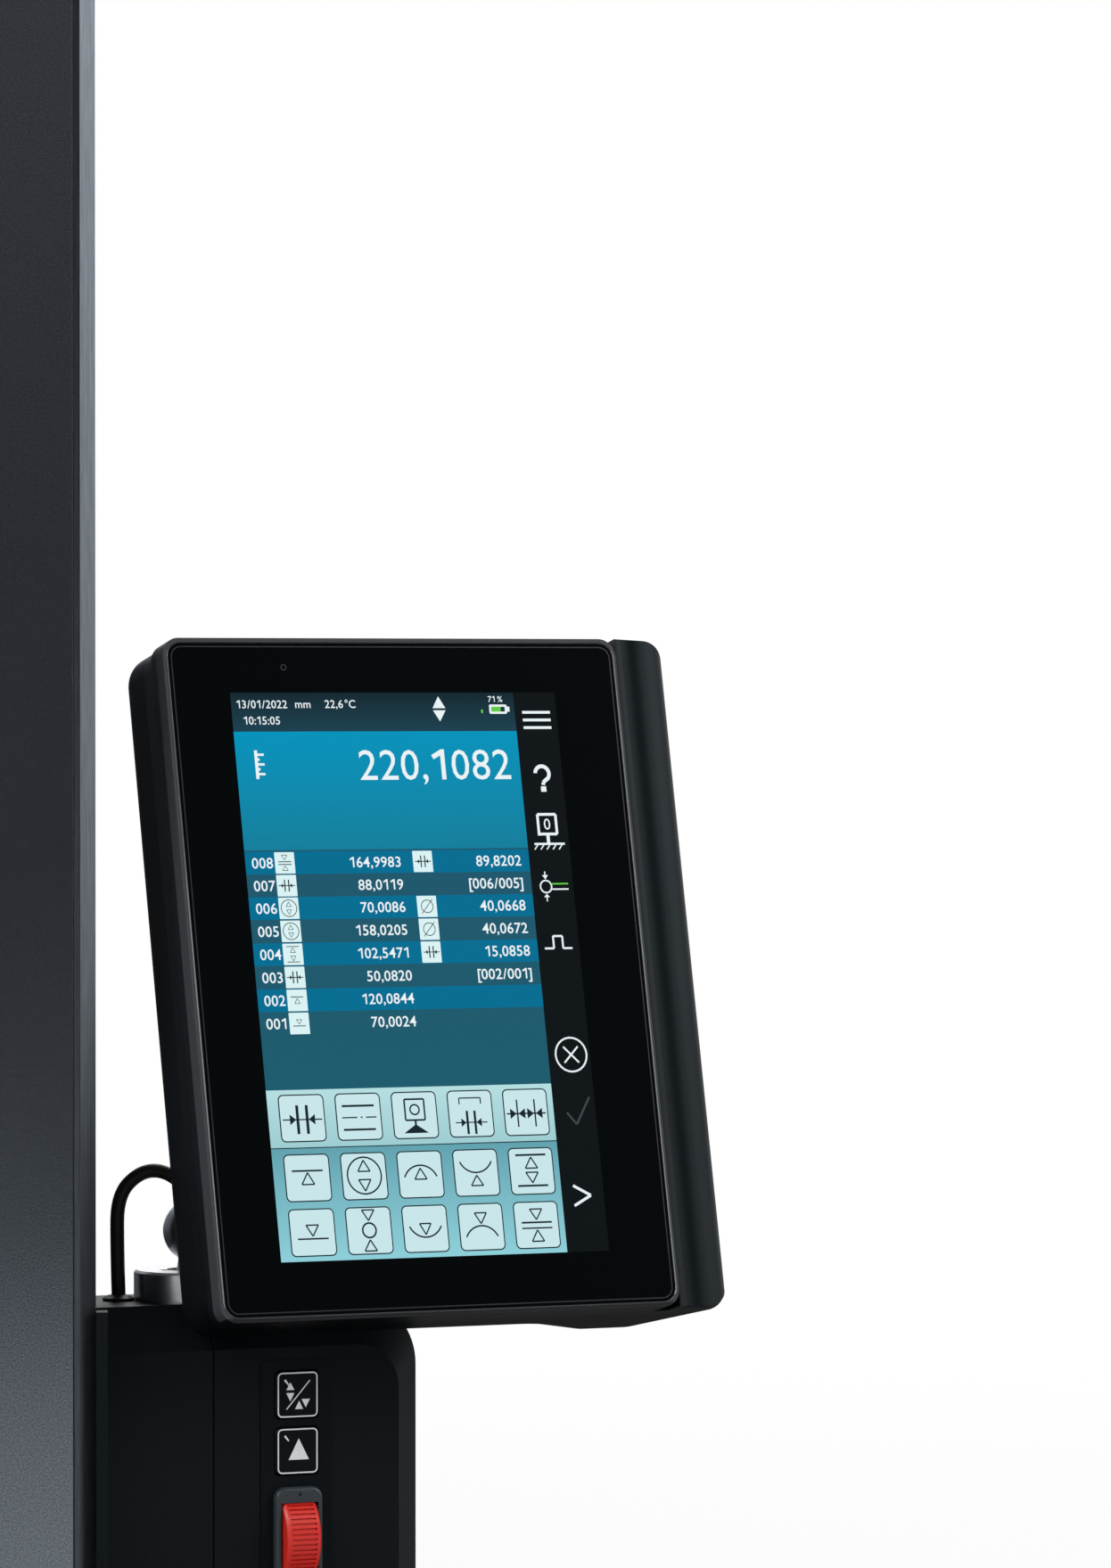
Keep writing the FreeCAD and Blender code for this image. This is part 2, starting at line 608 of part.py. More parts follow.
front_panel = body("column_front_panel")
pad(front_panel, "XZ", f"-{COLUMN_Y}", f"-{COLUMN_Y}+panel_thickness",
    box(f"-({PANEL}-panel_gap)", f"{PANEL}-panel_gap", "base_height", "column_height"))
chamfer(front_panel, "0.4", lambda e: flat_at(e, "Y", f"-{COLUMN_Y}") and along(e, "z"))

rear_panel = body("column_rear_panel")
pad(rear_panel, "XZ", f"{COLUMN_Y}-panel_thickness", COLUMN_Y,
    box(f"-({PANEL}-panel_gap)", f"{PANEL}-panel_gap", "base_height", "column_height"))
vent = cut(rear_panel, "XZ", f"{COLUMN_Y}-panel_thickness", COLUMN_Y,
           rounded("-20", "20", "column_height-60", "column_height-57", "1.4"))
row(rear_panel, vent, "Z_Axis", "36", "7")

cap = body("column_cap")
pad(cap, "XY", "column_height", "column_height+cap_height", bevelled(COLUMN_X, COLUMN_Y, "column_chamfer"))
fillet(cap, "cap_edge", lambda e: flat_at(e, "Z", "column_height+cap_height"))

# Inside the column: rail, scale, bridge, motor, belt drive and counterweight
RAIL_TOP = "column_height-rail_drop"
BRIDGE_TOP = "column_height-rail_drop+bridge_thickness"
DRIVE_Z = "(column_height-drive_drop)"
RAIL_LEFT = "rail_x-rail_width/2"
RAIL_RIGHT = "rail_x+rail_width/2"
rail = body("guide_rail")
pad(rail, "XY", "casting_height", RAIL_TOP, box(RAIL_LEFT, RAIL_RIGHT, "-rail_depth/2", "rail_depth/2"))
chamfer(rail, "1", lambda e: along(e, "z"))

scale = body("linear_scale")
pad(scale, "XY", "scale_low", "column_height-scale_drop",
    box("rail_x-scale_width/2", "rail_x+scale_width/2", "rail_depth/2", "rail_depth/2+scale_thickness"))

BELT_IN = "pulley_radius+belt_gap"
BELT_OUT = "pulley_radius+belt_gap+belt_thickness"
bridge = body("top_bridge")
pad(bridge, "XY", RAIL_TOP, BRIDGE_TOP,
    box(f"-({INSIDE_X})", INSIDE_X, f"-({INSIDE_Y})", INSIDE_Y))
cut(bridge, "XY", RAIL_TOP, BRIDGE_TOP,
    box("-(belt_width/2+2)", "belt_width/2+2", f"{BELT_IN}-2", f"{BELT_OUT}+2"),
    box("-(belt_width/2+2)", "belt_width/2+2", f"-({BELT_OUT}+2)", f"-({BELT_IN}-2)"))
pad(bridge, "YZ", CHEEK_IN, CHEEK_OUT, box("-cheek_half", "cheek_half", BRIDGE_TOP, f"{DRIVE_Z}+cheek_rise"))
pad(bridge, "YZ", f"-({CHEEK_OUT})", f"-({CHEEK_IN})",
    box("-cheek_half", "cheek_half", BRIDGE_TOP, f"{DRIVE_Z}+cheek_rise"))
cut(bridge, "YZ", f"-({CHEEK_OUT})", CHEEK_OUT, disc("0", DRIVE_Z, "shaft_radius+running_gap"))

motor = body("drive_motor")
pad(motor, "YZ", CHEEK_OUT, f"{CHEEK_OUT}+motor_length", disc("0", DRIVE_Z, "motor_radius"))
chamfer(motor, "1.5", lambda e: flat_at(e, "X", f"{CHEEK_OUT}+motor_length"))


def pulley(name, height):
    """A flanged belt pulley on its shaft, turned about its own axis."""
    made = body(name)
    half, seat = "pulley_width/2", "belt_width/2+0.6"
    turn(made, "Revolution", [
        (f"-({CHEEK_OUT}-0.1)", "0"), (f"{CHEEK_OUT}-0.1", "0"), (f"{CHEEK_OUT}-0.1", "shaft_radius"),
        (half, "shaft_radius"), (half, "pulley_radius+pulley_rim"), (seat, "pulley_radius+pulley_rim"),
        (seat, "pulley_radius"), (f"-({seat})", "pulley_radius"),
        (f"-({seat})", "pulley_radius+pulley_rim"), (f"-{half}", "pulley_radius+pulley_rim"),
        (f"-{half}", "shaft_radius"), (f"-({CHEEK_OUT}-0.1)", "shaft_radius")])
    hole = cut(made, "YZ", f"-{half}", half, disc("pulley_radius*0.58", "0", "pulley_radius*0.24"))
    polar(made, hole, "X_Axis", "4")
    place(made, "0", "0", height)
    return made


pulley("drive_pulley", DRIVE_Z)
pulley("idler_pulley", "idler_z")


def belt_loop(r):
    """A loop round both pulleys, in quarter turns."""
    return [
        (f"-({r})", DRIVE_Z), (f"-({r})", "idler_z", r), ("0", f"idler_z-({r})", r), (r, "idler_z"),
        (r, DRIVE_Z, r), ("0", f"{DRIVE_Z}+({r})", r)]


belt = body("drive_belt")
pad(belt, "YZ", "-belt_width/2", "belt_width/2", belt_loop(BELT_OUT), belt_loop(BELT_IN))

PROBE_DROP = "(carriage_height/2+probe_below)"
CARRIAGE_Z = f"probe_reading+{PROBE_DROP}"
weight = body("counterweight")
pad(weight, "XY", "-weight_height/2", "weight_height/2",
    rounded("weight_left", "weight_right", "weight_near", "weight_far", "3"))
pad(weight, "XY", "-8", "8",
    box("-(belt_width/2+clamp_depth)", "belt_width/2+clamp_depth", f"{BELT_IN}-clamp_gap-2.5", "weight_near"))
cut(weight, "XY", "-8", "8",
    box("-(belt_width/2+clamp_gap)", "belt_width/2+clamp_gap", f"{BELT_IN}-clamp_gap",
        f"{BELT_OUT}+clamp_gap"))
WEIGHT_Y = "(weight_near+weight_far)/2"
WEIGHT_RODS = [("weight_rod_left", WEIGHT_Y), ("weight_rod_right", WEIGHT_Y)]
cut(weight, "XY", "-weight_height/2", "weight_height/2",
    *[disc(x, y, "rod_radius+weight_rod_gap") for x, y in WEIGHT_RODS])
place(weight, "0", "0", f"column_height-weight_drop-({CARRIAGE_Z})")

rods = body("counterweight_rods")
pad(rods, "XY", "casting_height", RAIL_TOP, *[disc(x, y, "rod_radius") for x, y in WEIGHT_RODS])

# Carriage: a sleeve on the rail, a wing through the slot and a plate outside the column
HOLE_X = "rail_width/2+sleeve_gap"
HOLE_Y = "rail_depth/2+sleeve_gap"
SLEEVE_X = "rail_width/2+sleeve_gap+sleeve_wall"
SLEEVE_Y = "rail_depth/2+sleeve_gap+sleeve_wall"
WING_END = "carriage_height/2-wing_inset"
PLATE_IN = "-(column_width/2+plate_gap)"
PLATE_OUT = "-(column_width/2+plate_gap+plate_thickness)"
carriage = body("carriage_body")
pad(carriage, "XY", "-carriage_height/2", "carriage_height/2",
    box(f"rail_x-({SLEEVE_X})", f"rail_x+{SLEEVE_X}", f"-({SLEEVE_Y})", SLEEVE_Y),
    box(f"rail_x-({HOLE_X})", f"rail_x+{HOLE_X}", f"-({HOLE_Y})", HOLE_Y))
pad(carriage, "XY", f"-({WING_END})", WING_END,
    box(PLATE_IN, f"rail_x-({SLEEVE_X})", "-wing_depth/2", "wing_depth/2"))
WING = (f"{PLATE_IN}+8", f"rail_x-({SLEEVE_X})-6")
cut(carriage, "XZ", "-wing_depth/2", "wing_depth/2",
    rounded(*WING, f"-({WING_END})+wing_frame", "-belt_clamp_rise", "wing_frame/3"),
    rounded(*WING, "belt_clamp_rise", f"{WING_END}-wing_frame", "wing_frame/3"))
cut(carriage, "XZ", HOLE_Y, SLEEVE_Y, box("rail_x-7", "rail_x+7", "-14", "14"))
pad(carriage, "XY", "-10", "10",
    box("-(belt_width/2+clamp_depth)", "belt_width/2+clamp_depth", f"-({BELT_OUT}+clamp_gap+2.5)",
        "-wing_depth/2"),
    box("-(belt_width/2+clamp_gap)", "belt_width/2+clamp_gap", f"-({BELT_OUT}+clamp_gap)",
        f"-({BELT_IN}-clamp_gap)"))
place(carriage, "0", "0", CARRIAGE_Z)

shoes = body("guide_shoes")
for end in ("(carriage_height/2-shoe_inset)", "-(carriage_height/2-shoe_inset)"):
    low, high = f"{end}-shoe_height/2", f"{end}+shoe_height/2"
    pad(shoes, "XY", low, high,
        box(f"rail_x-({HOLE_X})", f"{RAIL_LEFT}-shoe_gap", "-shoe_width/2", "shoe_width/2"),
        box(f"{RAIL_RIGHT}+shoe_gap", f"rail_x+{HOLE_X}", "-shoe_width/2", "shoe_width/2"),
        box("rail_x-shoe_width/2", "rail_x+shoe_width/2", f"-({HOLE_Y})", "-rail_depth/2-shoe_gap"),
        box("rail_x-scale_width/2-2.6", "rail_x-scale_width/2-0.4", "rail_depth/2+shoe_gap", HOLE_Y),
        box("rail_x+scale_width/2+0.4", "rail_x+scale_width/2+2.6", "rail_depth/2+shoe_gap", HOLE_Y))
place(shoes, "0", "0", CARRIAGE_Z)

reader = body("scale_reader")
pad(reader, "XY", "-13", "13",
    box("rail_x-6.5", "rail_x+6.5", "rail_depth/2+scale_thickness+0.4", f"{SLEEVE_Y}+6"))
place(reader, "0", "0", CARRIAGE_Z)

plate = body("carriage_plate")
pad(plate, "YZ", PLATE_OUT, PLATE_IN,
    rounded("-plate_depth/2", "plate_depth/2", "-carriage_height/2", "carriage_height/2", "6"))
ROD_X = f"{PLATE_OUT}-guide_rod_out"
ROD_END = "(carriage_height/2-rod_inset)"
for end in (ROD_END, f"-{ROD_END}"):
    pad(plate, "XY", f"{end}-lug_height/2", f"{end}+lug_height/2",
        box(f"{ROD_X}-6", PLATE_OUT, "-(guide_rod_y+6)", "guide_rod_y+6"))
    cut(plate, "XY", f"{end}-lug_height/2", f"{end}+lug_height/2",
        *[disc(ROD_X, y, "guide_rod_radius") for y in ("guide_rod_y", "-guide_rod_y")],
        box(f"{ROD_X}-6", f"{PLATE_OUT}-3", "-(arm_depth/2+arm_gap)", "arm_depth/2+arm_gap"))
place(plate, "0", "0", CARRIAGE_Z)

guide_rods = body("deflection_rods")
pad(guide_rods, "XY", f"-({ROD_END}+lug_height/2)", f"{ROD_END}+lug_height/2",
    *[disc(ROD_X, y, "guide_rod_radius") for y in ("guide_rod_y", "-guide_rod_y")])
place(guide_rods, "0", "0", CARRIAGE_Z)

SHELL_OUT = f"{PLATE_OUT}-carriage_cover_depth"
shell = body("carriage_cover")
pad(shell, "YZ", SHELL_OUT, PLATE_OUT,
    rounded("-plate_depth/2", "plate_depth/2", "-carriage_height/2", "carriage_height/2", "6"))
fillet(shell, "carriage_cover_edge", lambda e: flat_at(e, "X", SHELL_OUT))
cut(shell, "YZ", f"{SHELL_OUT}+carriage_cover_wall", PLATE_OUT,
    rounded("-(plate_depth/2-carriage_cover_wall)", "plate_depth/2-carriage_cover_wall",
            "-(carriage_height/2-carriage_cover_wall)", "carriage_height/2-carriage_cover_wall", "4"))
SLIDE_NEAR = f"{ROD_X}+slide_thickness/2"
SLIDE_FAR = f"{ROD_X}-slide_thickness/2"
cut(shell, "XY", "-carriage_height/2", "-(carriage_height/2-carriage_cover_wall)",
    rounded(f"{SLIDE_FAR}-arm_gap", f"{SLIDE_NEAR}+arm_gap", "-(arm_depth/2+arm_gap)",
            "arm_depth/2+arm_gap", "2"))
place(shell, "0", "0", CARRIAGE_Z)

# Probe: a sprung slide on two rods, the arm below it, and the ball on its stem
slide = body("probe_slide")
pad(slide, "XY", "-slide_height/2", "slide_height/2",
    rounded(SLIDE_FAR, SLIDE_NEAR, "-slide_depth/2", "slide_depth/2", "3"))
cut(slide, "XY", "-slide_height/2", "slide_height/2",
    *[disc(ROD_X, y, "guide_rod_radius+running_gap") for y in ("guide_rod_y", "-guide_rod_y")])
place(slide, "0", "0", CARRIAGE_Z)

arm = body("probe_arm")
pad(arm, "XY", f"-({PROBE_DROP}+arm_foot)", "-slide_height/2",
    rounded(SLIDE_FAR, SLIDE_NEAR, "-arm_depth/2", "arm_depth/2", "2.5"))
cut(arm, "YZ", SLIDE_FAR, SLIDE_NEAR, disc("0", f"-{PROBE_DROP}", "stem_radius"))
cut(arm, "YZ", SLIDE_FAR, SLIDE_NEAR,
    box("-split_gap/2", "split_gap/2", f"-{PROBE_DROP}+stem_radius-0.4", f"-{PROBE_DROP}+screw_rise+8"))
cut(arm, "XZ", "-arm_depth/2", "arm_depth/2",
    disc(ROD_X, f"-{PROBE_DROP}+screw_rise", "screw_radius+running_gap"))
place(arm, "0", "0", CARRIAGE_Z)

knob = body("clamp_screw")
turn(knob, "Revolution", [
    ("-(arm_depth/2+screw_head+0.3)", "0"), ("arm_depth/2-1", "0"), ("arm_depth/2-1", "screw_radius"),
    ("-(arm_depth/2+0.3)", "screw_radius"), ("-(arm_depth/2+0.3)", "screw_head_radius"),
    ("-(arm_depth/2+screw_head-0.7)", "screw_head_radius"),
    ("-(arm_depth/2+screw_head+0.3)", "screw_head_radius-1")], "Y_Axis", "YZ")
flute = cut(knob, "XZ", "-(arm_depth/2+screw_head+0.3)", "-(arm_depth/2+0.3)",
            disc("screw_head_radius+0.35", "0", "0.8"))
polar(knob, flute, "Y_Axis", "20")
place(knob, ROD_X, "0", "probe_reading+screw_rise")

stem = body("probe_stem")
STEM_IN = "slide_thickness/2"
STEM_OUT = "-(slide_thickness/2+stem_length)"
turn(stem, "Revolution", [
    (f"{STEM_OUT}", "0"), (STEM_IN, "0"), (STEM_IN, "stem_radius"),
    (f"{STEM_OUT}+26", "stem_radius"), (f"{STEM_OUT}+20", "stem_tip_radius"), (STEM_OUT, "stem_tip_radius")])
place(stem, ROD_X, "0", "probe_reading")

ball = body("probe_ball")
turn(ball, "Revolution", [
    ("-ball_radius", "0"), ("ball_radius", "0", "ball_radius"), ("0", "ball_radius", "ball_radius")])
cut(ball, "YZ", "0", "ball_radius", disc("0", "0", "stem_tip_radius"))
place(ball, f"{ROD_X}+{STEM_OUT}", "0", "probe_reading")

# Handle: a bracket on the column, and a grip of two shells with the keypad
BRACKET_END = "handle_depth*tan(handle_yaw)"
bracket = body("handle_bracket")
pad(bracket, "XY", "base_height", "handle_top",
    [("0", "0"), ("handle_seam-seam_gap", "0"), ("handle_seam-seam_gap", "handle_depth"),
     (BRACKET_END, "handle_depth")])
cut(bracket, "YZ", "0-1", "handle_seam",
    [("0", "handle_flat_top"), ("0", "handle_top"), ("handle_bevel", "handle_top")])
cut(bracket, "XY", "base_height", "handle_top", disc("grommet_u", "grommet_w", "cable_radius+1"))
pad(bracket, "XY", "base_height", "handle_top",
    [("0", "0"), ("-flange_reach*sin(handle_yaw)", "-flange_reach*cos(handle_yaw)"),
     ("flange_width*cos(handle_yaw)-flange_reach*sin(handle_yaw)",
      "-flange_width*sin(handle_yaw)-flange_reach*cos(handle_yaw)"),
     ("flange_width/cos(handle_yaw)", "0")])
bracket.Placement = handle_frame()

SHELL_LOW = "base_height"
INSIDE_LOW = "base_height+handle_wall"


def grip_outline(right, top, r):
    """The grip's front outline, with one round corner at the top right."""
    return [("handle_seam", SHELL_LOW), (right, SHELL_LOW), (right, f"{top}-({r})", r),
            (f"{right}-({r})", top), ("handle_seam", top)]


OUTER = grip_outline("handle_width", "handle_top", "handle_corner")
FLAT = grip_outline("handle_flat", "handle_flat_top", "flat_corner")
STRIP = ("strip_centre-strip_width/2", "strip_centre+strip_width/2", "wheel_z-strip_height/2",
         "wheel_z+strip_height/2")
KEY_AT = [("upper_outer_key", "wheel_z+key_far"), ("upper_inner_key", "wheel_z+key_near"),
          ("lower_inner_key", "wheel_z-key_near"), ("lower_outer_key", "wheel_z-key_far")]


def key_outline(height, grow="0"):
    """The outline of a key, or of the hole around it."""
    return rounded(f"strip_centre-key_width/2-({grow})", f"strip_centre+key_width/2+({grow})",
                   f"{height}-key_height/2-({grow})", f"{height}+key_height/2+({grow})", "key_corner")


def wheel_outline(width, height, r):
    """A round-cornered outline about the thumbwheel."""
    return rounded(f"strip_centre-{width}/2", f"strip_centre+{width}/2", f"wheel_z-{height}/2",
                   f"wheel_z+{height}/2", r)


grip = body("grip_front_shell")
rim = sketch_on(grip, "XZ", "-handle_bevel", [OUTER])
face = sketch_on(grip, "XZ", "0", [FLAT])
bevel = grip.newObject("PartDesign::AdditiveLoft", "grip_bevel")
bevel.Profile = face
bevel.Sections = [rim]
bevel.Ruled = True
pad(grip, "XZ", "handle_bevel", "handle_split", OUTER)
cut(grip, "XZ", "handle_wall", "handle_split",
    grip_outline("handle_flat-handle_wall+2", "handle_flat_top-handle_wall+2", "flat_corner"))
cut(grip, "XZ", "0", "strip_thickness", rounded(*STRIP, "strip_corner"))
cut(grip, "XZ", "strip_thickness", "handle_wall",
    *[key_outline(height, "key_gap") for name, height in KEY_AT],
    wheel_outline("(bezel_width-2)", "(bezel_height-2)", "bezel_corner-1"))
grip.Placement = handle_frame()

back = body("grip_rear_shell")
pad(back, "XZ", "handle_split", "handle_depth", OUTER)
fillet(back, "rear_edge", lambda e: flat_at(e, "Y", "handle_depth")
       and e.BoundBox.Center.z > size("base_height+1")
       and e.BoundBox.XMax > size("handle_seam+1"))
cut(back, "XZ", "handle_split", "handle_depth-trough_depth-handle_wall",
    grip_outline("handle_flat-handle_wall", "handle_flat_top-handle_wall", "flat_corner"))
TROUGH_U = "strip_centre+8"
cut(back, "XY", "base_height+26", "handle_top-26",
    disc(TROUGH_U, "handle_depth+trough_radius-trough_depth", "trough_radius"))
BUTTON = rounded(f"{TROUGH_U}-button_width/2", f"{TROUGH_U}+button_width/2", "wheel_z-button_height/2",
                 "wheel_z+button_height/2", "button_width/2-1")
cut(back, "XZ", "handle_depth-trough_depth-handle_wall-1", "handle_depth",
    rounded(f"{TROUGH_U}-button_width/2-button_gap", f"{TROUGH_U}+button_width/2+button_gap",
            "wheel_z-button_height/2-button_gap", "wheel_z+button_height/2+button_gap",
            "button_width/2-1+button_gap"))
back.Placement = handle_frame()

float_button = body("air_cushion_button")
pad(float_button, "XZ", "handle_depth-trough_depth-handle_wall-4", "handle_depth-trough_depth+button_proud",
    BUTTON)
chamfer(float_button, "1.5", lambda e: flat_at(e, "Y", "handle_depth-trough_depth+button_proud"))
float_button.Placement = handle_frame()

keypad = body("keypad_panel")
pad(keypad, "XZ", "-strip_proud", "strip_thickness", rounded(*STRIP, "strip_corner"))
cut(keypad, "XZ", "-strip_proud", "strip_thickness",
    *[key_outline(height, "key_gap") for name, height in KEY_AT],
    wheel_outline("(bezel_width-2)", "(bezel_height-2)", "bezel_corner-1"))
keypad.Placement = handle_frame()

for name, height in KEY_AT:
    key = body(name)
    pad(key, "XZ", "-key_proud", "key_depth", key_outline(height))
    chamfer(key, "key_edge", lambda e: flat_at(e, "Y", "-key_proud"))
    key.Placement = handle_frame()

bezel = body("wheel_bezel")
pad(bezel, "XZ", "-bezel_proud", "-strip_proud", wheel_outline("bezel_width", "bezel_height", "bezel_corner"))
fillet(bezel, "1", lambda e: flat_at(e, "Y", "-bezel_proud"))
pad(bezel, "XZ", "-strip_proud", "handle_wall",
    wheel_outline("(bezel_width-2)", "(bezel_height-2)", "bezel_corner-1"))
cut(bezel, "XZ", "-bezel_proud", "handle_wall", wheel_outline("window_width", "window_height", "1"))
cut(bezel, "XZ", "-bezel_proud", "pilot_depth-bezel_proud",
    disc("strip_centre", "wheel_z+(window_height+bezel_height)/4+pilot_radius/2", "pilot_radius"))
cut(bezel, "YZ", "strip_centre-window_width/2", "strip_centre+window_width/2",
    disc("wheel_set_back", "wheel_z", "wheel_radius+cradle_gap"))
bezel.Placement = handle_frame()

wheel = body("thumbwheel")
RIM_IN = "wheel_width/2-wheel_rim"
turn(wheel, "Revolution", [
    ("-wheel_width/2", "wheel_shaft+running_gap"), ("wheel_width/2", "wheel_shaft+running_gap"),
    ("wheel_width/2", "wheel_radius-0.6"), ("wheel_width/2-0.6", "wheel_radius"),
    ("-(wheel_width/2-0.6)", "wheel_radius"), ("-wheel_width/2", "wheel_radius-0.6")])
groove = cut(wheel, "YZ", f"-({RIM_IN})", RIM_IN,
             box("wheel_radius-wheel_rib_depth", "wheel_radius+1", "-0.3", "0.3"))
polar(wheel, groove, "X_Axis", "wheel_ribs")
wheel.Placement = handle_frame("strip_centre", "wheel_set_back", "wheel_z")

CRADLE_IN = "wheel_width/2+cradle_gap"
cradle = body("wheel_cradle")
CRADLE_BACK = "wheel_radius+1.5"
CRADLE_OUT = f"{CRADLE_IN}+cradle_wall"
for start, end in ((CRADLE_IN, CRADLE_OUT), (f"-({CRADLE_OUT})", f"-({CRADLE_IN})")):
    pad(cradle, "YZ", start, end,
        [("-(wheel_set_back-handle_wall-0.2)", "-7"), (CRADLE_BACK, "-14"), (CRADLE_BACK, "14"),
         ("-(wheel_set_back-handle_wall-0.2)", "7")])
pad(cradle, "YZ", f"-({CRADLE_IN})", CRADLE_IN, disc("0", "0", "wheel_shaft"))
pad(cradle, "XZ", CRADLE_BACK, f"{CRADLE_BACK}+2",
    box(f"-({CRADLE_IN}+cradle_wall)", f"{CRADLE_IN}+cradle_wall", "-14", "14"))
cradle.Placement = handle_frame("strip_centre", "wheel_set_back", "wheel_z")

BOARD_W = "wheel_set_back+wheel_radius+3.5"
pcb = body("keypad_board")
pad(pcb, "XZ", BOARD_W, f"{BOARD_W}+board_thickness", box("strip_centre-11", "strip_centre+11",
                                                       "wheel_z-strip_height/2", "wheel_z+strip_height/2-2"))
pcb.Placement = handle_frame()

# Ball mount: a turned boss on the handle, and the stud whose ball carries the display
boss = body("swivel_boss")
turn(boss, "Revolution", [
    ("stud_radius+running_gap", "0"), ("boss_radius", "0"), ("boss_radius", "boss_height-boss_edge"),
    ("boss_radius-boss_edge", "boss_height"), ("boss_recess_radius", "boss_height"),
    ("boss_recess_radius", "boss_height-boss_recess"),
    ("stud_radius+running_gap", "boss_height-boss_recess")], "Z_Axis", "XZ")
slot = cut(boss, "XY", "boss_height-boss_recess", "boss_height",
           box("boss_recess_radius-0.5", "boss_recess_radius+2.2", "-1.4", "1.4"))
polar(boss, slot, "Z_Axis", "4")
boss.Placement = handle_frame("swivel_u", "swivel_w", "handle_top")

stud = body("ball_stud")
RISE = "knuckle_rise"
NECK_RISE = f"{RISE}-sqrt(knuckle_radius^2-4.4^2)"
turn(stud, "Revolution", [
    ("0", "-(boss_height-0.5)"), ("stud_radius", "-(boss_height-0.5)"), ("stud_radius", "-0.8"),
    ("4.4", NECK_RISE), ("0", f"{RISE}-knuckle_radius")], "Z_Axis", "XZ")
turn(stud, "Revolution", [
    ("0", f"{RISE}-knuckle_radius", "knuckle_radius"), ("knuckle_radius", RISE, "knuckle_radius"),
    ("0", f"{RISE}+knuckle_radius")], "Z_Axis", "XZ")
cut(stud, "YZ", "-tilt_pin_depth-0.5", "knuckle_radius+1", disc("0", RISE, "tilt_pin_radius+running_gap"))
stud.Placement = handle_frame("swivel_u", "swivel_w", "handle_top+boss_height")

grommet = body("cable_grommet")
turn(grommet, "Revolution", [
    ("cable_radius", "0"), ("grommet_radius", "0"), ("grommet_radius", "grommet_height*0.5"),
    ("cable_radius+0.8", "grommet_height"), ("cable_radius", "grommet_height")], "Z_Axis", "XZ")
grommet.Placement = handle_frame("grommet_u", "grommet_w", "handle_top")

# Display: rear shell with a thick grip on its right, front frame, glass and panel
FRAME_WIDTH = "case_width-grip_width"
CASE_X = "-case_left"
CASE_Y = "-case_front"
CASE_Z = "-case_below"
CASE_TOP = "case_height-case_below"


def across(u):
    """A place along the case from its left edge."""
    return f"{CASE_X}+({u})"


def behind(w):
    """A place behind the front plane of the case."""
    return f"{CASE_Y}+({w})"


rear = body("display_rear_shell")
pad(rear, "XY", CASE_Z, CASE_TOP, [
    (across("0"), behind("frame_depth")),
    (across(FRAME_WIDTH), behind("frame_depth")),
    (across(FRAME_WIDTH), behind("0")),
    (across("case_width-nose_width"), behind("nose_start")),
    (across("case_width"), behind("nose_end")),
    (across("case_width-grip_back"), behind("grip_depth")),
    (across("case_width-grip_shoulder"), behind("grip_depth")),
    (across("case_width-grip_start"), behind("case_depth")),
    (across("0"), behind("case_depth"))])
fillet(rear, "grip_round", lambda e: standing_at(e, across("case_width-grip_back"), behind("grip_depth"))
       or standing_at(e, across("case_width-grip_shoulder"), behind("grip_depth"))
       or standing_at(e, across("case_width-grip_start"), behind("case_depth")))
fillet(rear, "case_end_edge", lambda e: along(e, "x") and flat_at(e, "Y", behind("case_depth")))
fillet(rear, "case_edge", lambda e: standing_at(e, across("0"), behind("case_depth")))
fillet(rear, "nose_edge", lambda e: standing_at(e, across("case_width-nose_width"), behind("nose_start"))
       or standing_at(e, across("case_width"), behind("nose_end")))
cut(rear, "XY", f"{CASE_Z}+case_wall", f"{CASE_TOP}-case_wall",
    box(across("case_wall"), across(f"{FRAME_WIDTH}-case_wall"), behind("frame_depth"),
        behind("case_depth-case_wall")))
rear.Placement = display_frame()

frame = body("display_front_frame")
pad(frame, "XZ", CASE_Y, behind("frame_depth"),
    rounded(CASE_X, across(FRAME_WIDTH), CASE_Z, CASE_TOP, "glass_corner"))
GLASS = (across("frame_lip"), across(f"{FRAME_WIDTH}-frame_rim"), f"{CASE_Z}+frame_lip",
         f"{CASE_TOP}-frame_lip")
cut(frame, "XZ", CASE_Y, behind("glass_thickness"), rounded(*GLASS, "glass_corner-0.5"))
LCD = (across("frame_lip+lcd_left"), across(f"{FRAME_WIDTH}-frame_rim-lcd_right"),
       f"{CASE_Z}+frame_lip+lcd_bottom", f"{CASE_TOP}-frame_lip-lcd_top")
cut(frame, "XZ", behind("glass_thickness"), behind("frame_depth"), box(*LCD))
frame.Placement = display_frame()

glass = body("cover_glass")
pad(glass, "XZ", CASE_Y, behind("glass_thickness"), rounded(*GLASS, "glass_corner-0.5"))
chamfer(glass, "0.4", lambda e: flat_at(e, "Y", CASE_Y))
glass.Placement = display_frame()

lcd = body("lcd_panel")
pad(lcd, "XZ", behind("glass_thickness"), behind("glass_thickness+lcd_thickness"), box(*LCD))
lcd.Placement = display_frame()

display_pcb = body("display_board")
pad(display_pcb, "XZ", behind("frame_depth+board_rise"), behind("frame_depth+board_rise+board_thickness"),
    box(across("board_inset"), across("case_width-board_end"), f"{CASE_Z}+board_margin",
        f"{CASE_TOP}-board_margin"))
BOARD_POSTS = [(across(x), f"{CASE_Z}+{z}") for x in ("case_width-board_end+1", "board_inset-1")
               for z in ("board_margin+4", "case_height-board_margin-4")]
pad(display_pcb, "XZ", behind("frame_depth"), behind("frame_depth+board_rise"),
    *[disc(x, z, "post_radius") for x, z in BOARD_POSTS])
display_pcb.Placement = display_frame()

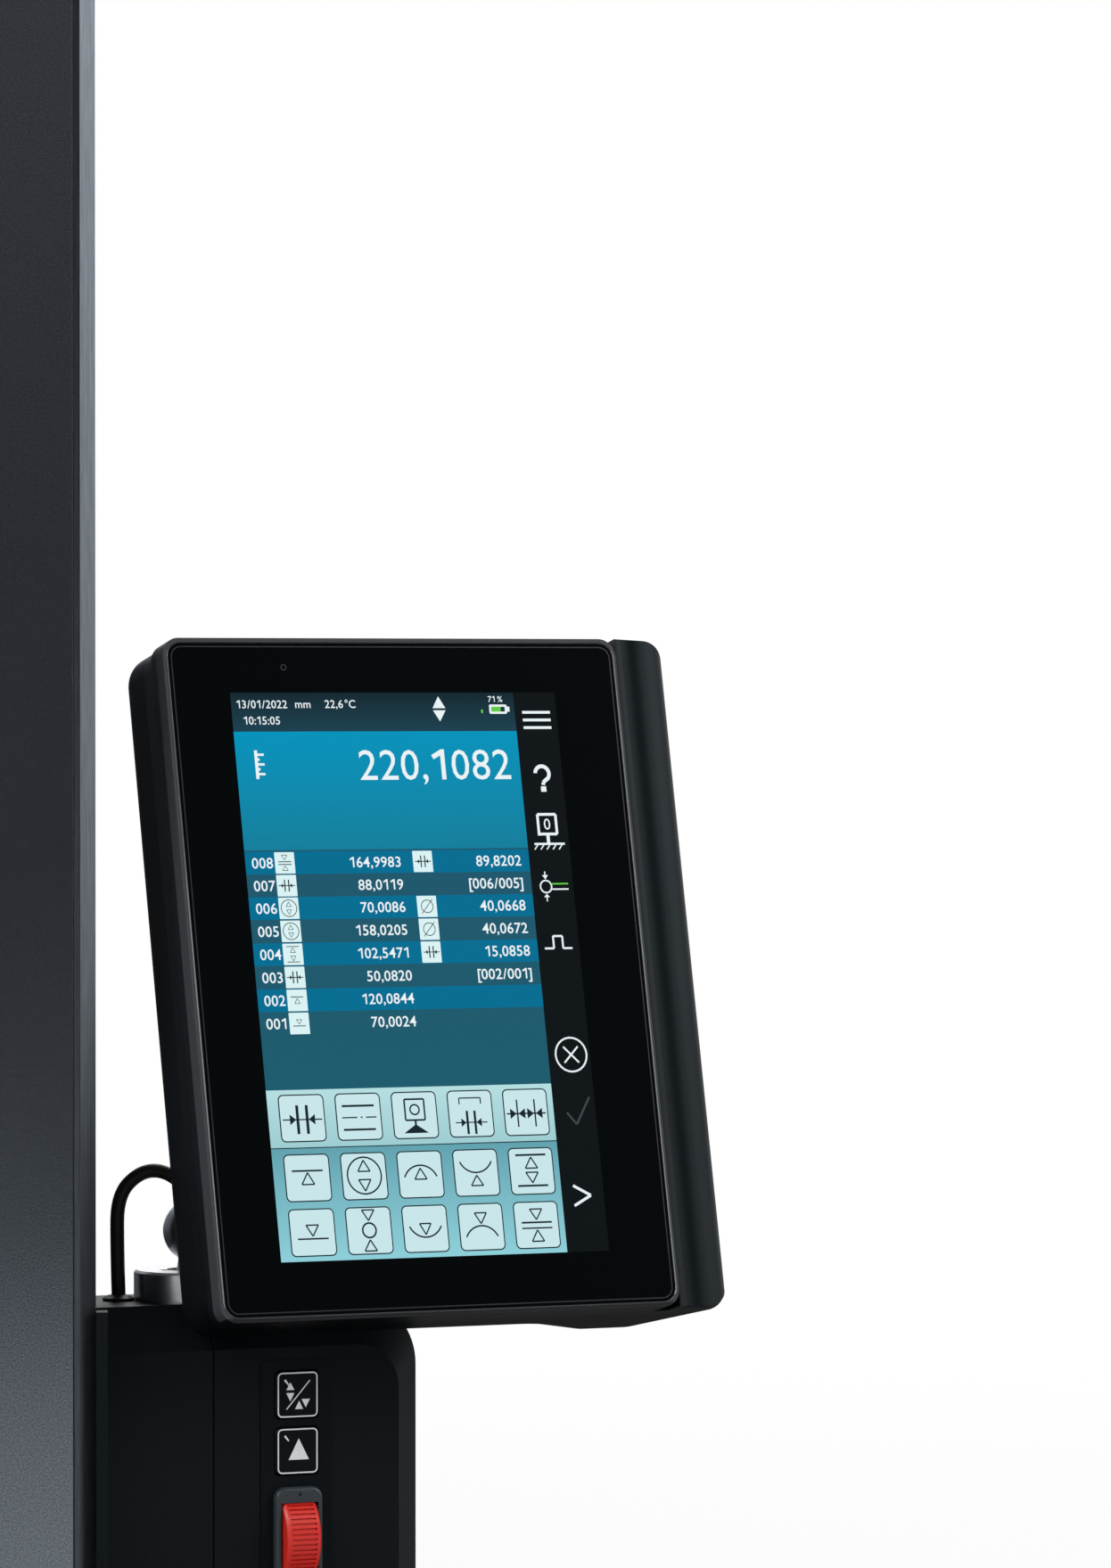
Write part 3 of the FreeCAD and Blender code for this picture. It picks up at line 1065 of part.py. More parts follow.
hinge = body("hinge_bracket")
HINGE_IN = "knuckle_radius+hinge_gap"
CASE_BACK = "case_depth-case_front"
pad(hinge, "YZ", HINGE_IN, f"{HINGE_IN}+hinge_arm",
    [(CASE_BACK, "-hinge_foot"), ("hinge_eye*0.6", "-hinge_eye*0.8", "hinge_eye"),
     ("-hinge_eye*0.28", "hinge_eye*0.96"), (CASE_BACK, "hinge_lip")],
    disc("0", "0", "tilt_pin_radius"))
pad(hinge, "XZ", CASE_BACK, f"{CASE_BACK}+3",
    rounded(f"{HINGE_IN}-4", f"{HINGE_IN}+hinge_arm+16", "-hinge_foot", "hinge_lip", "3"))
hinge.Placement = display_frame()

pin = body("tilt_pin")
pad(pin, "YZ", "-tilt_pin_depth", f"{HINGE_IN}+hinge_arm", disc("0", "0", "tilt_pin_radius"))
pad(pin, "YZ", f"{HINGE_IN}+hinge_arm", f"{HINGE_IN}+hinge_arm+2.4", disc("0", "0", "tilt_pin_radius+1.8"))
pin.Placement = display_frame()

gland = body("display_gland")
GLAND_Y = f"{CASE_BACK}+gland_back"
pad(gland, "YZ", "gland_start", "gland_start+gland_length",
    disc(GLAND_Y, "gland_rise", "gland_radius"))
pad(gland, "YZ", "gland_start+3", "gland_start+gland_length",
    box(CASE_BACK, GLAND_Y, "gland_rise-gland_radius", "gland_rise+gland_radius"))
chamfer(gland, "gland_radius-cable_radius-0.15", lambda e: flat_at(e, "X", "gland_start"))
gland.Placement = display_frame()

# Display cable: out of the grommet, up and over, and down behind the case into the gland
exit_at = handle_frame("grommet_u", "grommet_w", "handle_top+grommet_height").Base
entry_at = display_frame().multVec(Vector(size("gland_start-cable_seat"), size(GLAND_Y), size("gland_rise")))
CABLE = [
    exit_at,
    Vector(51.0, -13.5, 244.4),
    Vector(51.1, -13.9, 257.8),
    Vector(56.8, -14.7, 264.0),
    Vector(63.3, -16.2, 264.7),
    Vector(69.8, -18.6, 259.8),
    Vector(78.6, -17.6, 257.8),
    entry_at,
]


def cord_path(points, share=0.45):
    """Straight runs joined by tangent arcs, each as large as its two runs allow."""
    edges, start, radii = [], points[0], []
    for before, corner, after in zip(points, points[1:], points[2:]):
        arriving, leaving = (corner - before), (after - corner)
        half = arriving.getAngle(leaving) / 2
        reach = share * min(arriving.Length, leaving.Length)
        radii.append(reach / math.tan(half))
        arriving.normalize()
        leaving.normalize()
        first, last = corner - arriving * reach, corner + leaving * reach
        inward = (leaving - arriving).normalize()
        middle = corner + inward * (radii[-1] / math.cos(half) - radii[-1])
        edges.append(Part.LineSegment(start, first).toShape())
        edges.append(Part.Arc(first, middle, last).toShape())
        start = last
    edges.append(Part.LineSegment(start, points[-1]).toShape())
    print("cable radii", [round(r, 1) for r in radii])
    return Part.Wire(edges)


path = cord_path(CABLE)
section = Part.Wire(Part.Circle(CABLE[0], CABLE[1] - CABLE[0], size("cable_radius")).toShape())
tube = path.makePipeShell([section], True, False)
expected = math.pi * size("cable_radius") ** 2 * path.Length
print("cable length", round(path.Length, 1), "volume share", round(tube.Volume / expected, 4))
cable = doc.addObject("Part::Feature", "display_cable")
cable.Label = "display_cable"
cable.Shape = tube

# Check every object, then write one file for each sub-part
doc.recompute()
for item in doc.Objects:
    if "Invalid" in item.State or "Error" in item.State:
        raise ValueError(f"{item.Name} failed: {item.State}")

parts = [item for item in doc.Objects if item.TypeId == "PartDesign::Body"] + [cable]
for part in parts:
    if part.Shape.isNull() or not part.Shape.isValid():
        raise ValueError(f"{part.Label} has no valid shape")

os.makedirs("parts", exist_ok=True)
for part in parts:
    part.Shape.exportStep(f"parts/{part.Label}.step")
print(len(parts), "parts written")
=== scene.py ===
import bpy
import json
import math
from mathutils import Matrix, Vector


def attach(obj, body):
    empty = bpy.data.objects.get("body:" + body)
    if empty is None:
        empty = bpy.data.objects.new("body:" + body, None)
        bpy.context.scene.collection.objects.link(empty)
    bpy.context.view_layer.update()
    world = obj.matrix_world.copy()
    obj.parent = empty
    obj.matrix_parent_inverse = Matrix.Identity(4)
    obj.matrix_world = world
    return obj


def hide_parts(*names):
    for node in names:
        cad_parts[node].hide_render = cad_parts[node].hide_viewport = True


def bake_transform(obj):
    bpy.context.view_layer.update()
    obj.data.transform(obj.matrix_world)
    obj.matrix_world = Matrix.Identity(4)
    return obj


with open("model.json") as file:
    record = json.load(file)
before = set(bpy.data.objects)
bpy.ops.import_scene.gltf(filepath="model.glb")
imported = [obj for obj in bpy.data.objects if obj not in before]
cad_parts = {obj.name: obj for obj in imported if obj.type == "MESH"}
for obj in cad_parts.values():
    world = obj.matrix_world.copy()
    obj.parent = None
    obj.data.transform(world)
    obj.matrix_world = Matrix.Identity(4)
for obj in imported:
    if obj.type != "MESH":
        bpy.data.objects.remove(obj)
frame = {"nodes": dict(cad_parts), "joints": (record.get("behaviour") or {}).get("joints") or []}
nodes = frame["nodes"]
joints = {joint["name"]: joint for joint in frame["joints"]}
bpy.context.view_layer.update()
MM = 0.001

# Base: a heavy cast foot, ground underneath, with a painted sheet cover over its battery, pump and
# board. The cover, its battery door and the socket panel at the back share one dark textured paint.


def shader_of(made):
    """The surface shader of a material."""
    return made.node_tree.nodes["Principled BSDF"]


def finish_of(name, colour, roughness, metal=0.0, shine=0.5, tint=(1, 1, 1)):
    """A new material with its plain values set on the shader."""
    made = bpy.data.materials.new(name)
    made.use_nodes = True
    shader = shader_of(made)
    shader.inputs["Base Color"].default_value = (*colour, 1)
    shader.inputs["Roughness"].default_value = roughness
    shader.inputs["Metallic"].default_value = metal
    shader.inputs["Specular IOR Level"].default_value = shine
    shader.inputs["Specular Tint"].default_value = (*tint, 1)
    return made


def add_node(made, kind, **values):
    """A node in a material or in the room, with its properties or inputs set."""
    node = made.node_tree.nodes.new(kind)
    for key, value in values.items():
        if key in node.inputs:
            node.inputs[key].default_value = value
        else:
            setattr(node, key, value)
    return node


def wire(made, start, output, end, entry):
    """Link two nodes of a material or of the room."""
    made.node_tree.links.new(start.outputs[output], end.inputs[entry])


def mapped(made, start, output, low=0.0, high=1.0, lowest=0.0, highest=1.0, kind="LINEAR"):
    """A node's value, mapped from the span low to high onto the span lowest to highest."""
    span = add_node(made, "ShaderNodeMapRange", interpolation_type=kind)
    for entry, value in (("From Min", low), ("From Max", high), ("To Min", lowest), ("To Max", highest)):
        span.inputs[entry].default_value = value
    wire(made, start, output, span, "Value")
    return span


def shade_ramp(made, start, output, shades, low=0.0, high=1.0):
    """A change of colour from one shade at a low value of a node to the other at a high value."""
    ramp = add_node(made, "ShaderNodeValToRGB")
    for stop, shade, position in zip(ramp.color_ramp.elements, shades, (low, high)):
        stop.color = (*shade, 1)
        stop.position = position
    wire(made, start, output, ramp, "Fac")
    return ramp


def grained(made, size, depth, shades, stretch=(1, 1, 1), sheen=None):
    """Give a material a fine grain: bumps of a size and depth in metres, two shades, and a span of sheen."""
    shader = shader_of(made)
    place = add_node(made, "ShaderNodeTexCoord")
    turn = add_node(made, "ShaderNodeMapping")
    turn.inputs["Scale"].default_value = stretch
    wire(made, place, "Object", turn, "Vector")
    grain = add_node(made, "ShaderNodeTexNoise", Scale=1 / size, Detail=3.0, Roughness=0.6)
    wire(made, turn, "Vector", grain, "Vector")
    bump = add_node(made, "ShaderNodeBump", Strength=0.6, Distance=depth)
    wire(made, grain, "Fac", bump, "Height")
    wire(made, bump, "Normal", shader, "Normal")
    wire(made, shade_ramp(made, grain, "Fac", shades, 0.35, 0.65), "Color", shader, "Base Color")
    if sheen:
        cloud = add_node(made, "ShaderNodeTexNoise", Scale=18.0, Detail=4.0)
        wire(made, place, "Object", cloud, "Vector")
        span = mapped(made, cloud, "Fac", lowest=sheen[0], highest=sheen[1])
        wire(made, span, "Result", shader, "Roughness")
    return made


def paint(mesh, made):
    """Give a mesh one material."""
    mesh.materials.clear()
    mesh.materials.append(made)


def dress(made, *names):
    """Give CAD nodes a material."""
    for name in names:
        paint(nodes[name].data, made)


base_paint = grained(finish_of("base_paint", (0.03, 0.032, 0.037), 0.42, shine=0.4), 0.0006, 0.00004,
                     ((0.026, 0.028, 0.033), (0.036, 0.038, 0.044)), sheen=(0.36, 0.5))
dress(base_paint, "base_cover", "battery_cover", "socket_panel")
cast_paint = grained(finish_of("cast_iron_paint", (0.05, 0.052, 0.056), 0.55, shine=0.4), 0.0016, 0.00012,
                     ((0.042, 0.044, 0.048), (0.06, 0.062, 0.067)), sheen=(0.45, 0.65))
dress(cast_paint, "base_casting")
turned_brass = grained(finish_of("turned_brass", (0.62, 0.43, 0.16), 0.3, metal=1.0), 0.0003, 0.00001,
                       ((0.55, 0.38, 0.13), (0.68, 0.49, 0.2)))
dress(turned_brass, "air_nozzles")
battery_sleeve = grained(finish_of("battery_sleeve", (0.03, 0.06, 0.16), 0.35), 0.002, 0.00003,
                         ((0.026, 0.05, 0.14), (0.034, 0.07, 0.18)))
dress(battery_sleeve, "battery_pack")
die_cast = grained(finish_of("die_cast_alloy", (0.42, 0.42, 0.44), 0.5, metal=0.9), 0.0012, 0.00005,
                   ((0.38, 0.38, 0.4), (0.48, 0.48, 0.5)))
dress(die_cast, "air_pump", "drive_motor")
board_green = grained(finish_of("circuit_board", (0.012, 0.09, 0.035), 0.4), 0.0012, 0.00002,
                      ((0.01, 0.075, 0.03), (0.016, 0.11, 0.045)))
dress(board_green, "main_board", "keypad_board", "display_board")
socket_black = grained(finish_of("socket_plastic", (0.015, 0.015, 0.016), 0.45), 0.0005, 0.00002,
                       ((0.012, 0.012, 0.013), (0.02, 0.02, 0.021)))
dress(socket_black, "rear_sockets", "power_button")

# Column: an extruded and anodised profile with bevelled corners. Sheet panels with a fine-grained metallic
# paint are let into its front and back, with a dark groove beside each.
column_anodised = grained(finish_of("column_anodised", (0.17, 0.19, 0.215), 0.34, metal=0.9), 0.0007, 0.00002,
                          ((0.145, 0.163, 0.187), (0.195, 0.217, 0.243)), stretch=(1, 1, 0.05),
                          sheen=(0.3, 0.4))
dress(column_anodised, "column_profile")
cap_anodised = grained(finish_of("cap_anodised", (0.07, 0.072, 0.08), 0.4, metal=0.6), 0.0006, 0.00002,
                       ((0.06, 0.062, 0.07), (0.08, 0.082, 0.09)))
dress(cap_anodised, "column_cap")
panel_paint = grained(finish_of("panel_paint", (0.15, 0.17, 0.195), 0.15, metal=0.93, shine=0.2), 0.0005,
                      0.000022, ((0.11, 0.127, 0.148), (0.19, 0.213, 0.242)), sheen=(0.12, 0.18))
dress(panel_paint, "column_front_panel", "column_rear_panel")

# Inside the column: a ground rail and scale, a machined bridge and carriage, a toothed belt over two
# pulleys, and a cast counterweight on two rods.
ground_steel = grained(finish_of("ground_steel", (0.55, 0.55, 0.57), 0.25, metal=1.0), 0.0004, 0.000008,
                       ((0.48, 0.48, 0.5), (0.6, 0.6, 0.62)), stretch=(1, 1, 0.04))
dress(ground_steel, "guide_rail", "counterweight_rods", "deflection_rods", "wheel_cradle", "tilt_pin",
      "probe_stem", "probe_slide")
scale_steel = grained(finish_of("scale_steel", (0.7, 0.68, 0.6), 0.22, metal=1.0), 0.0002, 0.000005,
                      ((0.55, 0.53, 0.46), (0.76, 0.74, 0.66)), stretch=(0.02, 0.02, 4))
dress(scale_steel, "linear_scale")
machined = grained(finish_of("machined_aluminium", (0.58, 0.59, 0.61), 0.33, metal=1.0), 0.0005, 0.00001,
                   ((0.52, 0.53, 0.55), (0.63, 0.64, 0.66)), stretch=(0.06, 1, 1))
dress(machined, "top_bridge", "carriage_body", "carriage_plate", "drive_pulley", "idler_pulley",
      "hinge_bracket")
belt_rubber = grained(finish_of("belt_rubber", (0.014, 0.014, 0.014), 0.7), 0.0008, 0.00006,
                      ((0.011, 0.011, 0.011), (0.018, 0.018, 0.018)))
dress(belt_rubber, "drive_belt")
weight_iron = grained(finish_of("counterweight_iron", (0.07, 0.07, 0.072), 0.6, metal=0.5), 0.002, 0.0001,
                      ((0.055, 0.055, 0.057), (0.09, 0.09, 0.092)))
dress(weight_iron, "counterweight")
slide_plastic = grained(finish_of("slide_plastic", (0.66, 0.65, 0.6), 0.5), 0.001, 0.00002,
                        ((0.62, 0.61, 0.56), (0.7, 0.69, 0.64)))
dress(slide_plastic, "guide_shoes")
dress(socket_black, "scale_reader")

# Carriage and probe: a painted cover and arm outside the column, a knurled clamp screw, and a polished
# ruby ball on a ground stem.
carriage_paint = grained(finish_of("carriage_paint", (0.03, 0.032, 0.037), 0.4, shine=0.45), 0.0005, 0.00003,
                         ((0.026, 0.028, 0.033), (0.035, 0.037, 0.043)), sheen=(0.35, 0.46))
dress(carriage_paint, "carriage_cover", "probe_arm")
ruby = finish_of("ruby_ball", (0.42, 0.008, 0.03), 0.06, shine=0.8)
shader_of(ruby).inputs["Coat Weight"].default_value = 0.6
cloudy = add_node(ruby, "ShaderNodeTexNoise", Scale=400.0)
wire(ruby, add_node(ruby, "ShaderNodeTexCoord"), "Object", cloudy, "Vector")
cloudy_ramp = shade_ramp(ruby, cloudy, "Fac", ((0.34, 0.004, 0.02), (0.5, 0.014, 0.04)))
wire(ruby, cloudy_ramp, "Color", shader_of(ruby), "Base Color")
dress(ruby, "probe_ball")
knurled = grained(finish_of("knurled_steel", (0.45, 0.45, 0.47), 0.32, metal=1.0), 0.0004, 0.00003,
                  ((0.38, 0.38, 0.4), (0.52, 0.52, 0.54)))
dress(knurled, "clamp_screw")

# Handle: a bracket and a grip of two moulded shells in black, finely grained plastic. The face is deep
# matte black, and its bevelled rim looks lighter because it faces the light. The gloss is a little blue.
COOL_GLOSS = (0.72, 0.9, 1.0)
handle_black = grained(finish_of("handle_black", (0.0028, 0.0043, 0.0057), 0.52, shine=0.18, tint=COOL_GLOSS),
                       0.00045, 0.00003, ((0.0024, 0.0037, 0.0049), (0.0038, 0.0056, 0.0072)),
                       sheen=(0.48, 0.6))
dress(handle_black, "handle_bracket", "grip_front_shell", "grip_rear_shell", "air_cushion_button")

# Keypad: a thin printed film with four keys round the wheel. Each key has a white printed frame and a
# pictogram, modelled as a thin layer of ink on the key.
HANDLE_RIGHT = Vector(joints["thumbwheel_turn"]["axis"]).normalized()
HANDLE_BACK = Vector((-HANDLE_RIGHT.y, HANDLE_RIGHT.x, 0))
UP = Vector((0, 0, 1))
LIFT = 0.00002
PRINT_HALF_WIDE, PRINT_HALF_HIGH, PRINT_ROUND, PRINT_LINE = 5.7, 5.9, 1.3, 0.36
film_black = grained(finish_of("keypad_film", (0.0034, 0.0048, 0.006), 0.42, shine=0.13, tint=COOL_GLOSS),
                     0.0003, 0.00001, ((0.0028, 0.004, 0.0051), (0.004, 0.0056, 0.007)))
dress(film_black, "keypad_panel", "upper_outer_key", "upper_inner_key", "lower_inner_key",
      "lower_outer_key")
key_ink = grained(finish_of("key_ink", (0.68, 0.69, 0.7), 0.5), 0.0003, 0.000005,
                  ((0.64, 0.65, 0.66), (0.72, 0.73, 0.74)))


def select_only(*chosen):
    """Select these objects and nothing else."""
    bpy.ops.object.select_all(action="DESELECT")
    for each in chosen:
        each.select_set(True)
    bpy.context.view_layer.objects.active = chosen[0]


def flat_polygon(points, level=0.0):
    """A flat polygon in the drawing plane, in millimetres, shaped from a primitive disc."""
    bpy.ops.object.select_all(action="DESELECT")
    bpy.ops.mesh.primitive_circle_add(vertices=len(points), radius=1, fill_type="NGON")
    made = bpy.context.object
    for vertex, (x, y) in zip(made.data.vertices, points):
        vertex.co = (x, y, level)
    return made


def stroke(x0, y0, x1, y1, width, level=0.0):
    """A straight line with width, as a flat strip."""
    along = Vector((x1 - x0, y1 - y0)).normalized()
    side = Vector((-along.y, along.x)) * width / 2
    a, b = Vector((x0, y0)), Vector((x1, y1))
    return flat_polygon([tuple(a - side), tuple(b - side), tuple(b + side), tuple(a + side)], level)


def corners_of(x0, y0, x1, y1, radius, steps=6):
    """The outline of a rectangle with rounded corners."""
    points = []
    for cx, cy, start in ((x1 - radius, y1 - radius, 0), (x0 + radius, y1 - radius, 90),
                          (x0 + radius, y0 + radius, 180), (x1 - radius, y0 + radius, 270)):
        for step in range(steps + 1):
            angle = math.radians(start + 90 * step / steps)
            points.append((cx + radius * math.cos(angle), cy + radius * math.sin(angle)))
    return points


def rim_of(made, *insets):
    """The rim of a flat polygon: inset by each width and rise in turn, and its middle removed."""
    select_only(made)
    bpy.ops.object.mode_set(mode="EDIT")
    bpy.ops.mesh.select_all(action="SELECT")
    for width, rise in insets:
        bpy.ops.mesh.inset(thickness=width, depth=rise)
    bpy.ops.mesh.delete(type="FACE")
    bpy.ops.object.mode_set(mode="OBJECT")
    return made


def framed(x0, y0, x1, y1, radius, width, level=0.0):
    """A flat frame with rounded corners."""
    return rim_of(flat_polygon(corners_of(x0, y0, x1, y1, radius), level), (width, 0))


def arc(cx, cy, radius, start, end, width, level=0.0, steps=14):
    """A bent line with width, from one angle to another."""
    outer, inner = [], []
    for step in range(steps + 1):
        angle = math.radians(start + (end - start) * step / steps)
        for side, reach in ((outer, radius + width / 2), (inner, radius - width / 2)):
            side.append((cx + reach * math.cos(angle), cy + reach * math.sin(angle)))
    strips = [flat_polygon([outer[i], outer[i + 1], inner[i + 1], inner[i]], level) for i in range(steps)]
    return joined(strips)


def joined(pieces):
    """Several pieces made one."""
    select_only(*pieces)
    bpy.ops.object.join()
    return bpy.context.object


def lay_on(piece, name, origin, right, up, made, body):
    """Lay a flat drawing in millimetres on a face, and make it a finished piece of a body."""
    out = right.cross(up)
    select_only(piece)
    rows = [(right[i] * MM, up[i] * MM, out[i] * MM, origin[i] + out[i] * LIFT) for i in range(3)]
    piece.matrix_world = Matrix((*rows, (0, 0, 0, 1)))
    bpy.ops.object.transform_apply(location=True, rotation=True, scale=True)
    bpy.ops.object.mode_set(mode="EDIT")
    bpy.ops.mesh.select_all(action="SELECT")
    bpy.ops.mesh.normals_make_consistent(inside=False)
    bpy.ops.object.mode_set(mode="OBJECT")
    if piece.data.polygons[0].normal.dot(out) < 0:
        piece.data.flip_normals()
    piece.name = name
    paint(piece.data, made)
    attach(piece, body)


def face_of(node, right, back, up):
    """The middle of a node's foremost face, seen along back."""
    points = [vertex.co for vertex in nodes[node].data.vertices]
    near = min(point.dot(back) for point in points)
    sideways = [point.dot(right) for point in points]
    heights = [point.dot(up) for point in points]
    return right * (min(sideways) + max(sideways)) / 2 + back * near + up * (min(heights) + max(heights)) / 2


def key_frame():
    """The printed frame of a key, a little inside the key's edge."""
    return framed(-PRINT_HALF_WIDE, -PRINT_HALF_HIGH, PRINT_HALF_WIDE, PRINT_HALF_HIGH, PRINT_ROUND,
                  PRINT_LINE)


def triangle(x, y, width, height):
    """A solid triangle with its base at y and its point above it, or below for a negative height."""
    half = math.copysign(width / 2, height)
    return flat_polygon([(x - half, y), (x + half, y), (x, y + height)])


def tick_mark(x, y):
    """The small wedge at the upper left of a key, the sign of a second function."""
    return flat_polygon([(x, y), (x + 0.45, y + 0.35), (x + 1.5, y - 1.1), (x + 1.2, y - 1.3)])


outer_marks = [
    key_frame(), tick_mark(-3.9, 3.8), triangle(-2.1, 1.3, 2.3, 2.0), triangle(-2.1, 0.5, 2.3, -2.2),
    stroke(-3.2, -3.8, 3.5, 3.7, 0.3), triangle(0.4, -3.8, 2.3, 2.2), triangle(2.3, -1.2, 2.4, -2.2)]
inner_marks = [key_frame(), tick_mark(-3.9, 3.9), triangle(0.3, -2.3, 5.8, 5.6)]
lower_inner_marks = [key_frame(), tick_mark(-3.9, 3.9), triangle(0.3, 2.3, 5.8, -5.6)]
lower_outer_marks = [key_frame(), arc(0, 0, 2.9, 0, 360, 0.45, steps=28), stroke(-2.1, -2.1, 2.1, 2.1, 0.4)]
for key, marks in (("upper_outer_key", outer_marks), ("upper_inner_key", inner_marks),
                   ("lower_inner_key", lower_inner_marks), ("lower_outer_key", lower_outer_marks)):
    lay_on(joined(marks), key + "_ink", face_of(key, HANDLE_RIGHT, HANDLE_BACK, UP), HANDLE_RIGHT, UP,
           key_ink, key)

# Thumbwheel: a red moulded wheel with fine ribs between two smooth rims, in a raised dark bezel with a
# small pilot hole above the window.
wheel_red = grained(finish_of("wheel_red", (0.62, 0.02, 0.012), 0.36, shine=0.45), 0.0006, 0.00002,
                    ((0.56, 0.016, 0.01), (0.68, 0.025, 0.015)))
dress(wheel_red, "thumbwheel")
bezel_satin = grained(finish_of("bezel_satin", (0.028, 0.036, 0.042), 0.4, shine=0.4), 0.0004, 0.00002,
                      ((0.024, 0.031, 0.037), (0.033, 0.042, 0.049)))
dress(bezel_satin, "wheel_bezel")

# Ball mount: a boss and a stud with a ball, turned from light metal and left satin.
turned_metal = grained(finish_of("turned_metal", (0.62, 0.63, 0.64), 0.28, metal=1.0), 0.0004, 0.000012,
                       ((0.56, 0.57, 0.58), (0.67, 0.68, 0.69)), stretch=(0.15, 0.15, 3))
dress(turned_metal, "swivel_boss", "ball_stud")

# Display: a flat black case with a thick moulded grip on its right, a front frame whose satin sides turn
# dark at the rear and carry painted shade on the bottom lip, and a cover glass printed black round the panel.
TILT_AXIS = Vector(joints["display_tilt"]["axis"]).normalized()
BALL = Vector(joints["display_tilt"]["pos_m"])
CASE_RIGHT = -TILT_AXIS
LEAN = math.radians(13)
LEVEL_BACK = Vector((-CASE_RIGHT.y, CASE_RIGHT.x, 0))
CASE_UP = LEVEL_BACK * math.sin(LEAN) + UP * math.cos(LEAN)
CASE_BACK = LEVEL_BACK * math.cos(LEAN) - UP * math.sin(LEAN)
CASE_LEFT, CASE_BELOW, CASE_FRONT = 0.0138, 0.0314, 0.0453
GRIP_START, GRIP_WIDE = 0.1316, 0.0194
GRIP_WAVE = ((0.0, 0.4), (0.08, 0.28), (0.15, 0.32), (0.46, 0.86), (0.58, 0.9), (1.0, 0.0))
GRIP_FADE, GRIP_RISE = (0.014, 0.004), 0.003
# More than 5 mm behind the front, the frame's sides take the case's black. Within about 1.4 mm of the bottom
# they are darkened as painted shade on the lip.
SATIN_REAR, SATIN_LIP_PAINTED_SHADE = (0.0050, 0.0052), (0.0014, 0.001)
case_black = grained(finish_of("case_black", (0.0038, 0.0054, 0.007), 0.46, shine=0.14, tint=COOL_GLOSS),
                     0.0004, 0.00003, ((0.003, 0.0043, 0.0056), (0.0048, 0.0066, 0.0085)), sheen=(0.4, 0.5))
dress(case_black, "display_rear_shell")


def combined(made, operation, first, second):
    """One number from two, each given as a node and the name of its output."""
    both = add_node(made, "ShaderNodeMath", operation=operation)
    wire(made, *first, both, 0)
    wire(made, *second, both, 1)
    return both


def node_of(made, kind):
    """The first node of a kind in a material."""
    return next(node for node in made.node_tree.nodes if node.type == kind)


def distance_along(made, way, start):
    """How far a point lies from the ball along a direction, less a start in metres."""
    place = add_node(made, "ShaderNodeTexCoord")
    along = add_node(made, "ShaderNodeVectorMath", operation="DOT_PRODUCT")
    along.inputs[1].default_value = way
    wire(made, place, "Object", along, 0)
    span = add_node(made, "ShaderNodeMath", operation="SUBTRACT")
    span.inputs[1].default_value = BALL.dot(way) + start
    wire(made, along, "Value", span, 0)
    return span


grain_bump = node_of(case_black, "BUMP")
grip_way = distance_along(case_black, CASE_RIGHT, GRIP_START - CASE_LEFT)
grip_reach = mapped(case_black, grip_way, "Value", 0.0, GRIP_WIDE)
grip_curve = add_node(case_black, "ShaderNodeFloatCurve")
shape_of_grip = grip_curve.mapping.curves[0].points
shape_of_grip[0].location = GRIP_WAVE[0]
shape_of_grip[1].location = GRIP_WAVE[-1]
for stop in GRIP_WAVE[1:-1]:
    shape_of_grip.new(*stop)
grip_curve.mapping.update()
wire(case_black, grip_reach, "Result", grip_curve, "Value")
grip_depth = distance_along(case_black, CASE_BACK, -CASE_FRONT)
grip_front = mapped(case_black, grip_depth, "Value", *GRIP_FADE)
grip_height = combined(case_black, "MULTIPLY", (grip_curve, "Value"), (grip_front, "Result"))
grip_bump = add_node(case_black, "ShaderNodeBump", Strength=1.0, Distance=GRIP_RISE)
wire(case_black, grip_height, "Value", grip_bump, "Height")
wire(case_black, grip_bump, "Normal", grain_bump, "Normal")

frame_satin = grained(finish_of("frame_satin", (0.04, 0.046, 0.051), 0.42, shine=0.26), 0.0005, 0.00001,
                      ((0.036, 0.042, 0.046), (0.044, 0.05, 0.056)))
satin_rear = mapped(frame_satin, distance_along(frame_satin, CASE_BACK, -CASE_FRONT), "Value", *SATIN_REAR)
# Painted shade: the bottom lip of the frame is darkened in its colour, standing in for the shade from the
# handle below.
lip_painted_shade = mapped(frame_satin, distance_along(frame_satin, CASE_UP, -CASE_BELOW), "Value", *SATIN_LIP_PAINTED_SHADE)
rear_tone_and_lip_shade = combined(frame_satin, "MAXIMUM", (satin_rear, "Result"), (lip_painted_shade, "Result"))
# The colours of this node are its inputs 6 and 7 and its output 2.
satin_mix = add_node(frame_satin, "ShaderNodeMix", data_type="RGBA")
wire(frame_satin, rear_tone_and_lip_shade, "Value", satin_mix, 0)
wire(frame_satin, node_of(frame_satin, "VALTORGB"), "Color", satin_mix, 6)
